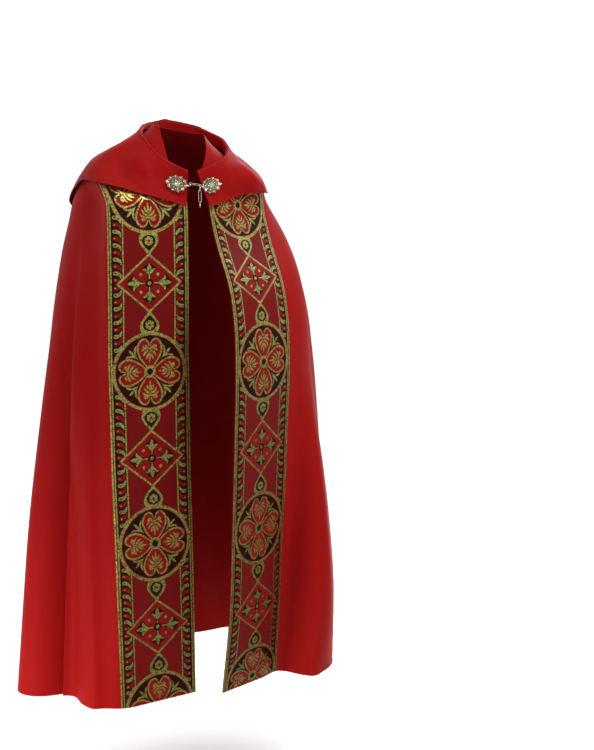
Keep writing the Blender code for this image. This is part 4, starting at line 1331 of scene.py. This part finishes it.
# The leaves of each petal: how far beside its middle they stand and lean, in degrees, where they start
# and end on the way out to the outline, the share of that they take, and their width, thickness and
# height over the boss's back in millimetres.
BOSS_LEAVES = table(
    "aside lean root tip share width thickness lift tilt",
    (0.0, 0.0, 0.60, 1.00, 1.00, 5.8, 3.6, 1.1, 6.0),
    (-8.5, -16.0, 0.62, 0.97, 0.92, 3.0, 2.4, 0.9, 4.0),
    (8.5, 16.0, 0.62, 0.97, 0.92, 3.0, 2.4, 0.9, 4.0),
)
BOSS_BORDER_BEADS = 20
BOSS_BORDER_BEAD = 0.75 * MM
BOSS_RING_BEADS = 30
BOSS_RING_BEAD = 0.85 * MM
BOSS_RING = (13.4 * MM, 10.6 * MM)
BOSS_SCROLLS = 8
BOSS_SCROLL_RING = (9.6 * MM, 7.5 * MM)
BOSS_SCROLL_SIZE = (1.75 * MM, 1.75 * MM, 2.4 * MM)
BOSS_SCROLL_TURN = 70.0
BOSS_SCROLL_BEAD = 0.7 * MM
BOSS_ROSETTE = 8
BOSS_ROSETTE_LEAF = (7.4 * MM, 4.6 * MM, 3.4 * MM)
BOSS_HEART_BEAD = (2.0 * MM, 2.0 * MM, 1.6 * MM)
# Painted shade darkens the casting's colour in its recesses: some below the first height over its back, and
# most below the second, in millimetres.
BOSS_UNSHADED_HEIGHT = 2.4
BOSS_SHADED_HEIGHT = 0.9
EYE_WIRE = 0.9 * MM
EYE_GRIP = 1.0 * MM
WIRE = 1.3 * MM
LINKS = table(
    "name length width body",
    ("chain_link_right", 0.0135, 0.0052, "garment"),
    ("chain_link_middle", 0.0075, 0.0048, "garment"),
    ("chain_link_left", 0.0120, 0.0052, "garment"),
    ("chain_ring", 0.0076, 0.0076, "garment"),
    ("tail_link", 0.0165, 0.0050, "chain_tail"),
    ("tail_oval", 0.0280, 0.0090, "chain_tail"),
)
DROP_LENGTH = 0.0150
DROP_WIDTH = 0.0048
# Half widths of the drop, in millimetres, at parts of the way down it, with two thin collars.
DROP_PROFILE = np.array([
    (0.0, 0.0), (0.02, 1.1), (0.10, 1.2), (0.12, 0.8), (0.2, 1.5), (0.34, 1.9), (0.5, 1.75), (0.68, 1.25),
    (0.84, 0.8), (0.86, 1.0), (0.91, 1.0), (0.93, 0.6), (1.0, 0.0),
]).T  # fmt: skip


def boss_place(turn, reach, side):
    """A place on the boss's face, at a turn in degrees and a part of the way out to its outline, which
    has ten lobes and is drawn out to a tip at each end."""
    over = math.radians(turn)
    outline = BOSS_ROUND * (1.0 + BOSS_LOBE * math.cos(BOSS_PETALS * over))
    outline += BOSS_OUTER_TIP * max(0.0, side * math.cos(over)) ** 9
    out = reach * (outline + BOSS_INNER_TIP * max(0.0, -side * math.cos(over)) ** 15)
    return Vector((0.5 * BOSS_WIDTH * out * math.cos(over), 0.5 * BOSS_HEIGHT * out * math.sin(over), 0.0))


def oval_place(turn, width, height):
    """A place on an oval round the boss's middle, at a turn in degrees."""
    return Vector((width * math.cos(math.radians(turn)), height * math.sin(math.radians(turn)), 0.0))


def heading(place):
    """The direction of a place from the boss's middle, in degrees."""
    return math.degrees(math.atan2(place.y, place.x))


def boss_matrix(boss):
    """Where the boss lies on the hood's front corner: its face turns from +Z to the front."""
    outer = 0.5 * BOSS_WIDTH * (BOSS_ROUND * (1.0 + BOSS_LOBE) + BOSS_OUTER_TIP)
    turn = math.radians(boss.turn)
    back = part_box(boss.name)[1][1] - outer * abs(math.sin(turn))
    place = Matrix.Translation((boss.x, back, boss.z)) @ Matrix.Rotation(turn, 4, "Z")
    return place @ Matrix.Rotation(math.pi / 2, 4, "X") @ Matrix.Rotation(math.radians(boss.tilt), 4, "Z")


def added(primitive, **settings):
    """Adds one of Blender's primitives, with its place and turn in its mesh, and nothing else selected."""
    select()
    primitive(**settings)
    bpy.ops.object.transform_apply(location=True, rotation=True, scale=False)
    return bpy.context.active_object


def open_edit(kind):
    """Goes to edit mode, with all of the active object selected."""
    bpy.ops.object.mode_set(mode="EDIT")
    bpy.ops.mesh.select_mode(type=kind)
    bpy.ops.mesh.select_all(action="SELECT")


def close_edit():
    """Turns the faces of a closed shape outwards, and leaves edit mode."""
    bpy.ops.mesh.select_all(action="SELECT")
    bpy.ops.mesh.normals_make_consistent(inside=False)
    bpy.ops.object.mode_set(mode="OBJECT")


def pick(made, test):
    """In edit mode, selects the vertices that pass a test."""
    mesh = bmesh.from_edit_mesh(made.data)
    for vertex in mesh.verts:
        vertex.select_set(bool(test(vertex.co)))
    mesh.select_flush_mode()
    bmesh.update_edit_mesh(made.data)


def cast_leaf():
    """A pointed leaf, one unit long from its root at the origin along +X, with a sunk vein."""
    made = added(
        bpy.ops.mesh.primitive_uv_sphere_add,
        segments=12,
        ring_count=8,
        radius=0.5,
        rotation=(0.0, math.pi / 2, 0.0),
    )
    open_edit("VERT")
    bpy.ops.transform.translate(value=(0.5, 0.0, 0.0))
    bpy.ops.transform.resize(value=(1.0, 0.62, 0.55), center_override=(0.0, 0.0, 0.0))
    pick(made, lambda co: co.x < 0.3)
    bpy.ops.transform.resize(value=(1.0, 0.6, 0.7), center_override=(0.0, 0.0, 0.0))
    pick(made, lambda co: co.x > 0.75)
    bpy.ops.transform.resize(value=(1.0, 0.45, 0.7), center_override=(1.0, 0.0, 0.0))
    bpy.ops.transform.translate(value=(0.04, 0.0, 0.07))
    pick(made, lambda co: abs(co.y) < 0.02 and co.z > 0.05 and co.x < 0.8)
    bpy.ops.transform.translate(value=(0.0, 0.0, -0.14))
    bpy.ops.object.mode_set(mode="OBJECT")
    return made


def cast_scroll():
    """A C-scroll round the origin, one unit in radius, open towards +X, its ends swollen."""
    made = added(
        bpy.ops.mesh.primitive_circle_add,
        vertices=8,
        radius=0.30,
        location=(1.0, 0.0, 0.0),
        rotation=(math.pi / 2, 0.0, 0.0),
    )
    open_edit("VERT")
    bpy.ops.mesh.spin(steps=14, angle=math.radians(280.0), center=(0.0, 0.0, 0.0), axis=(0.0, 0.0, 1.0))
    bpy.ops.mesh.select_all(action="DESELECT")
    bpy.ops.mesh.select_non_manifold()
    bpy.ops.mesh.fill_holes(sides=0)
    close_edit()
    return made


def cast_plate(side):
    """The boss's back plate, scalloped and drawn out to its two tips, with a raised edge."""
    made = added(bpy.ops.mesh.primitive_circle_add, vertices=100, radius=1.0, fill_type="NGON")
    for vertex in made.data.vertices:
        vertex.co = boss_place(heading(vertex.co), BOSS_PLATE_REACH, side)
    open_edit("FACE")
    bpy.ops.mesh.extrude_region_move(TRANSFORM_OT_translate={"value": (0.0, 0.0, BOSS_PLATE)})
    bpy.ops.mesh.inset(thickness=BOSS_PLATE_EDGE, depth=0.0)
    bpy.ops.transform.translate(value=(0.0, 0.0, -BOSS_PLATE_SINK))
    bpy.ops.mesh.inset(thickness=BOSS_PLATE_SLOPE, depth=0.0)
    close_edit()
    return made


def wire_ring(major_radius, minor_radius, major_segments, minor_segments):
    """A ring of wire round +Z."""
    return added(
        bpy.ops.mesh.primitive_torus_add,
        major_segments=major_segments,
        minor_segments=minor_segments,
        major_radius=major_radius,
        minor_radius=minor_radius,
    )


def cast_rim(side):
    """The scalloped wire that joins the leaves' tips, with the cloth showing inside it."""
    made = wire_ring(1.0, 0.1, 100, 8)
    for vertex in made.data.vertices:
        place = boss_place(heading(vertex.co), BOSS_RIM_REACH, side)
        out = (math.hypot(vertex.co.x, vertex.co.y) - 1.0) * BOSS_RIM_SPREAD
        up = Vector((0.0, 0.0, vertex.co.z * BOSS_RIM_HEIGHT + BOSS_RIM_LIFT))
        vertex.co = place + place.normalized() * out + up
    return made


def cast_copy(source, place, turn, size, lift, tilt=0.0):
    """A copy of a modelled shape, with its own mesh, on the boss's face."""
    made = bpy.data.objects.new(source.name, source.data.copy())
    bpy.context.scene.collection.objects.link(made)
    matrix = Matrix.Translation(place + Vector((0.0, 0.0, lift)))
    matrix @= Matrix.Rotation(math.radians(turn), 4, "Z") @ Matrix.Rotation(math.radians(-tilt), 4, "Y")
    made.data.transform(matrix @ Matrix.Diagonal((*size, 1.0)))
    return made


def joined(parts):
    """The parts as one object."""
    select(*parts)
    bpy.ops.object.join()
    return parts[0]


def put_in_place(made, name, place):
    """Names a metal piece, gives it its finish and puts it in its place."""
    made.name = name
    made.data.materials.clear()
    made.data.materials.append(finish_cast_metal())
    made.data.transform(place)
    made.data.shade_smooth()
    return made


def make_boss(boss):
    """A cast rosette on the hood's front corner: leaves round a beaded oval, scrolls and a flower."""
    side = boss.side
    leaf_shape, scroll = cast_leaf(), cast_scroll()
    bead = added(bpy.ops.mesh.primitive_ico_sphere_add, subdivisions=2, radius=1.0)
    parts = [cast_plate(side), cast_rim(side)]
    first = 0.0 if side > 0 else 180.0
    for k in range(BOSS_PETALS):
        for one in BOSS_LEAVES:
            turn = first + 360.0 * k / BOSS_PETALS + one.aside
            root, tip = boss_place(turn, one.root, side), boss_place(turn, one.tip, side)
            size = (one.share * (tip - root).length, one.width * MM, one.thickness * MM)
            parts.append(cast_copy(leaf_shape, root, heading(tip) + one.lean, size, one.lift * MM, one.tilt))
    for k in range(BOSS_BORDER_BEADS):
        place = boss_place(360.0 * (k + 0.5) / BOSS_BORDER_BEADS, BOSS_RIM_REACH, side)
        parts.append(cast_copy(bead, place, 0.0, (BOSS_BORDER_BEAD,) * 3, 1.5 * MM))
    for k in range(BOSS_RING_BEADS):
        place = oval_place(360.0 * k / BOSS_RING_BEADS, *BOSS_RING)
        parts.append(cast_copy(bead, place, 0.0, (BOSS_RING_BEAD,) * 3, 1.9 * MM))
    for k in range(BOSS_SCROLLS):
        turn = 360.0 * (k + 0.5) / BOSS_SCROLLS
        place = oval_place(turn, *BOSS_SCROLL_RING)
        way = turn + (BOSS_SCROLL_TURN if k % 2 else -BOSS_SCROLL_TURN)
        parts.append(cast_copy(scroll, place, way, BOSS_SCROLL_SIZE, 1.7 * MM))
        parts.append(cast_copy(bead, place, 0.0, (BOSS_SCROLL_BEAD,) * 3, 2.0 * MM))
    for k in range(BOSS_ROSETTE):
        turn = 360.0 * k / BOSS_ROSETTE
        parts.append(cast_copy(leaf_shape, Vector(), turn, BOSS_ROSETTE_LEAF, 2.0 * MM, tilt=10.0))
    parts.append(cast_copy(bead, Vector(), 0.0, BOSS_HEART_BEAD, 3.3 * MM))
    for shape in (leaf_shape, scroll, bead):
        bpy.data.objects.remove(shape)
    made = joined(parts)
    # Painted shade: the casting's colour is darker where it lies low over its back, in its recesses.
    heights = np.array([vertex.co.z for vertex in made.data.vertices]) / MM
    unshaded = (heights - BOSS_SHADED_HEIGHT) / (BOSS_UNSHADED_HEIGHT - BOSS_SHADED_HEIGHT)
    layer = made.data.attributes.new("hollow", "FLOAT", "POINT")
    layer.data.foreach_set("value", np.clip(1.0 - unshaded, 0.0, 1.0).astype(np.float32))
    put_in_place(made, boss.name + "_cast", boss_matrix(boss))
    select(made)
    bpy.ops.object.shade_smooth_by_angle(angle=math.radians(40.0))
    return made


def node_points(name):
    return np.array([vertex.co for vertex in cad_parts[name].data.vertices])


def node_axes(name):
    """A solid's middle and its three axes, from longest to shortest."""
    points = np.unique(np.round(node_points(name), 6), axis=0)
    middle = 0.5 * (points.min(axis=0) + points.max(axis=0))
    _, axes = np.linalg.eigh(np.cov((points - middle).T))
    axes = axes[:, ::-1]
    if np.linalg.det(axes) < 0:
        axes[:, 2] *= -1
    spans = (points - points.mean(axis=0)) @ axes
    return points.mean(axis=0) + axes @ (0.5 * (spans.min(axis=0) + spans.max(axis=0))), axes


def axes_matrix(middle, axes):
    """The matrix that takes a shape to a middle and three axes."""
    matrix = Matrix(axes.tolist()).to_4x4()
    matrix.translation = Vector(middle)
    return matrix


def make_eye(boss):
    """A ring soldered to the boss's inner tip, that the chain's first link hangs in."""
    points = node_points(boss.link)
    tip = np.array(boss_matrix(boss) @ (boss_place(90.0 + 90.0 * boss.side, 1.0, boss.side) + BOSS_TIP_LIFT))
    nearest = points[np.argmin(np.linalg.norm(points - tip, axis=1))]
    gap = float(np.linalg.norm(nearest - tip))
    ahead = (nearest - tip) / gap
    middle, axes = node_axes(boss.link)
    wire = np.cross(axes[:, 2], nearest - middle)
    wire -= ahead * (wire @ ahead)
    wire /= np.linalg.norm(wire)
    radius = 0.5 * (EYE_GRIP + gap + WIRE + 0.7 * EYE_WIRE)
    made = wire_ring(radius, 0.5 * EYE_WIRE, 32, 10)
    axes = np.stack([ahead, np.cross(wire, ahead), wire], axis=1)
    return put_in_place(made, boss.name + "_eye", axes_matrix(tip + ahead * (radius - EYE_GRIP), axes))


def make_link(link):
    """A link of drawn wire, bent round and soldered, on the solid's own place."""
    made = wire_ring(0.5 * (link.width - WIRE), 0.5 * WIRE, 48, 14)
    for vertex in made.data.vertices:
        if abs(vertex.co.x) > 1e-6:
            vertex.co.x += math.copysign(0.5 * (link.length - link.width), vertex.co.x)
    return put_in_place(made, link.name + "_wire", axes_matrix(*node_axes(link.name)))


def make_drop(name):
    """The tail's end: an eye of wire with a tapered bead soldered under it, between two thin collars."""
    eye = wire_ring(0.5 * (DROP_WIDTH - WIRE), 0.5 * WIRE, 36, 12)
    eye.data.transform(Matrix.Translation((0.5 * DROP_LENGTH - 0.5 * DROP_WIDTH, 0.0, 0.0)))
    top = 0.5 * DROP_LENGTH - DROP_WIDTH + 0.3 * MM
    bead = added(
        bpy.ops.mesh.primitive_uv_sphere_add,
        segments=20,
        ring_count=24,
        radius=1.0,
        rotation=(0.0, math.pi / 2, 0.0),
    )
    for vertex in bead.data.vertices:
        t = math.acos(max(-1.0, min(1.0, vertex.co.x))) / math.pi
        wide = math.hypot(vertex.co.y, vertex.co.z)
        swell = float(np.interp(t, *DROP_PROFILE)) * MM / wide if wide > 1e-6 else 1.0
        vertex.co = (top - (top + 0.5 * DROP_LENGTH) * t, vertex.co.y * swell, vertex.co.z * swell)
    middle, axes = node_axes(name)
    if axes[2, 0] < 0.0:
        axes[:, :2] *= -1.0
    return put_in_place(joined([eye, bead]), name + "_cast", axes_matrix(middle, axes))


# ---------------------------------------------------------------------------------------------------
# The pieces.


class COPE_OT_cape(bpy.types.Operator):
    """The red body of the cope, open down the front, with its folds and its turned hem"""

    bl_idname = "cope.cape"
    bl_label = "Cape"

    def execute(self, context):
        made = cloth_shell("cape_cloth", cape_cloth())
        ready(made, "garment", "red_cloth", "cape")
        return {"FINISHED"}


class COPE_OT_front_bands(bpy.types.Operator):
    """The two woven bands down the open fronts"""

    bl_idname = "cope.front_bands"
    bl_label = "Front bands"

    def execute(self, context):
        s = context.scene.cope_sizes
        for name, side, middle in (
            ("front_band_right", -1.0, s.pattern_right),
            ("front_band_left", 1.0, s.pattern_left),
        ):
            lay = front_lay(side)
            made = woven_piece(name + "_weave", lay, np.zeros(LAY_COLUMNS), middle)
            ready(made, "garment", "woven_band", name)
        return {"FINISHED"}


class COPE_OT_hood(bpy.types.Operator):
    """The hood: a flat fall of cloth, rolled over at the neck"""

    bl_idname = "cope.hood"
    bl_label = "Hood"

    def execute(self, context):
        made = cloth_shell("hood_cloth", hood_cloth())
        ready(made, "garment", "red_cloth", "hood")
        return {"FINISHED"}


class COPE_OT_hood_band(bpy.types.Operator):
    """The woven band down the middle of the hood"""

    bl_idname = "cope.hood_band"
    bl_label = "Hood band"

    def execute(self, context):
        lay, edge = hood_lay()
        made = woven_piece("hood_band_weave", lay, edge, 0.0)
        ready(made, "garment", "woven_band", "hood_band")
        return {"FINISHED"}


class COPE_OT_stitching(bpy.types.Operator):
    """The topstitching of the hood's edges and the cape's hem"""

    bl_idname = "cope.stitching"
    bl_label = "Stitching"

    def execute(self, context):
        hood = hood_cloth()
        inset = HEM_STEPS.index(HEM_WIDTH)
        row = len(hood) - 1 - inset
        last = hood.shape[1] - 1 - inset
        path = [(k, inset) for k in range(HOOD_TOP_ROW, row)] + [(row, j) for j in range(inset, last)]
        rows, columns = zip(*path, *((k, last) for k in range(row, HOOD_TOP_ROW, -1)))
        made = stitches("hood_topstitching", hood[rows, columns], grid_normals(hood)[rows, columns])
        ready(made, "garment", "red_cloth")
        cape = cape_cloth()
        row = int(np.argmin(np.abs((CLOTH_HEIGHTS - CLOTH_HEIGHTS[-1]) * CM - HEM_WIDTH)))
        hem = row, slice(BAND_CELLS, cape.shape[1] - BAND_CELLS)
        ready(stitches("hem_topstitching", cape[hem], grid_normals(cape)[hem]), "garment", "red_cloth")
        return {"FINISHED"}


class COPE_OT_clasp(bpy.types.Operator):
    """The two cast bosses of the clasp"""

    bl_idname = "cope.clasp"
    bl_label = "Clasp"

    def execute(self, context):
        for boss in BOSSES:
            ready(make_boss(boss), "garment", "cast_metal", boss.name)
            ready(make_eye(boss), "garment", "cast_metal")
        return {"FINISHED"}


class COPE_OT_chain(bpy.types.Operator):
    """The chain between the bosses, and its hanging tail"""

    bl_idname = "cope.chain"
    bl_label = "Chain"

    def execute(self, context):
        for link in LINKS:
            ready(make_link(link), link.body, "cast_metal", link.name)
        ready(make_drop("tail_drop"), "chain_tail", "cast_metal", "tail_drop")
        return {"FINISHED"}


# Where the camera stands, which way it faces and how long its lens is.
CAMERA_PLACE = (-1.1287, -3.1010, -0.035)
CAMERA_AZIMUTH = -20.0
CAMERA_YAW = 5.13
CAMERA_PITCH = 8.715
CAMERA_LENS = 65.76
SENSOR_WIDTH = 36.0

# Soft boxes: power in watts and spread in degrees.
SOFT_BOXES = table(
    "name place aim width height power spread",
    ("key light", (1.1, -1.3, 2.4), (0.1, 0.0, -0.3), 0.8, 0.8, 86.0, 180.0),
    ("left front light", (1.3, -3.3, -0.2), (-0.1, -0.2, -0.6), 0.7, 1.6, 19.0, 180.0),
    ("right front light", (-2.3, -2.9, -0.2), (-0.1, -0.2, -0.6), 0.8, 1.8, 9.0, 180.0),
    ("low right light", (-2.1, -0.7, -1.25), (-0.45, 0.0, -1.4), 0.7, 0.2, 4.2, 50.0),
    ("low left light", (1.9, 0.9, -1.3), (0.4, 0.0, -1.4), 0.7, 0.2, 3.0, 50.0),
    ("back light", (2.2, 2.0, 1.3), (0.0, 0.0, -0.4), 1.4, 1.4, 46.0, 180.0),
)
# The studio is brightest overhead and behind the garment, and falls off towards its front.
WORLD_BRIGHT_WAY = (-0.35, 0.75, 0.55)
WORLD_LIGHT = {"From Min": -0.6, "From Max": 0.45, "To Min": 0.35, "To Max": 1.3}
FLOOR_SIZE = 400.0


def linked(name, data, place, way):
    """An object at a place, facing a way."""
    made = bpy.data.objects.new(name, data)
    bpy.context.scene.collection.objects.link(made)
    made.location = place
    made.rotation_euler = way.to_track_quat("-Z", "Y").to_euler()
    return made


def studio_world():
    """White light all round. The eye sees the backdrop white from every side."""
    world = bpy.data.worlds.new("white studio")
    world.use_nodes = True
    tree = world.node_tree
    way = node(tree, "ShaderNodeTexCoord", {}).outputs["Generated"]
    toward = node(tree, "ShaderNodeVectorMath", {0: way, 1: WORLD_BRIGHT_WAY}, operation="DOT_PRODUCT")
    light = node(tree, "ShaderNodeMapRange", {"Value": toward.outputs["Value"], **WORLD_LIGHT})
    eye = node(tree, "ShaderNodeLightPath", {}).outputs["Is Camera Ray"]
    seen = node(tree, "ShaderNodeMath", {0: eye, 1: light}, operation="MAXIMUM")
    join(tree, tree.nodes["Background"], {"Color": (1.0, 1.0, 1.0, 1.0), "Strength": seen})
    return world


class COPE_OT_stage(bpy.types.Operator):
    """The studio: floor, lights, world and camera"""

    bl_idname = "cope.stage"
    bl_label = "Stage"

    def execute(self, context):
        scene = context.scene
        select()
        bpy.ops.mesh.primitive_plane_add(size=FLOOR_SIZE, location=(0.0, 0.0, -scene.cope_sizes.floor_drop))
        floor = context.active_object
        floor.name = "studio_floor"
        floor.data.materials.append(finish_studio())
        floor.visible_glossy = False
        for box in SOFT_BOXES:
            light = bpy.data.lights.new(box.name, "AREA")
            light.shape = "RECTANGLE"
            light.size = box.width
            light.size_y = box.height
            light.energy = box.power
            light.spread = math.radians(box.spread)
            linked(box.name, light, box.place, Vector(box.aim) - Vector(box.place))
        scene.world = studio_world()
        scene.view_settings.view_transform = "Standard"
        lens = bpy.data.cameras.new("camera")
        lens.sensor_width = SENSOR_WIDTH
        lens.lens = CAMERA_LENS
        turn = math.radians(90.0 + CAMERA_AZIMUTH - CAMERA_YAW)
        pitch = math.radians(CAMERA_PITCH)
        ahead = Vector((math.cos(turn) * math.cos(pitch), math.sin(turn) * math.cos(pitch), -math.sin(pitch)))
        scene.camera = linked("camera", lens, CAMERA_PLACE, ahead)
        return {"FINISHED"}


STEPS = (
    COPE_OT_cape,
    COPE_OT_front_bands,
    COPE_OT_hood,
    COPE_OT_hood_band,
    COPE_OT_stitching,
    COPE_OT_clasp,
    COPE_OT_chain,
    COPE_OT_stage,
)


class COPE_PT_panel(bpy.types.Panel):
    """The sidebar's list of the cope's pieces"""

    bl_label = "Cope"
    bl_idname = "COPE_PT_panel"
    bl_space_type = "VIEW_3D"
    bl_region_type = "UI"
    bl_category = "Cope"

    def draw(self, context):
        for group in (context.scene.cope_sizes, context.scene.cope_colours):
            column = self.layout.column()
            for name in group.__annotations__:
                column.prop(group, name)
        for step in STEPS:
            self.layout.operator(step.bl_idname)


CLASSES = (CopeSizes, CopeColours, *STEPS, COPE_PT_panel)


def register():
    for each in CLASSES:
        bpy.utils.register_class(each)
    bpy.types.Scene.cope_sizes = bpy.props.PointerProperty(type=CopeSizes)
    bpy.types.Scene.cope_colours = bpy.props.PointerProperty(type=CopeColours)


def unregister():
    del bpy.types.Scene.cope_colours
    del bpy.types.Scene.cope_sizes
    for each in reversed(CLASSES):
        bpy.utils.unregister_class(each)


def main():
    register()
    for step in STEPS:
        group, name = step.bl_idname.split(".")
        getattr(getattr(bpy.ops, group), name)()


if __name__ == "__main__":
    main()
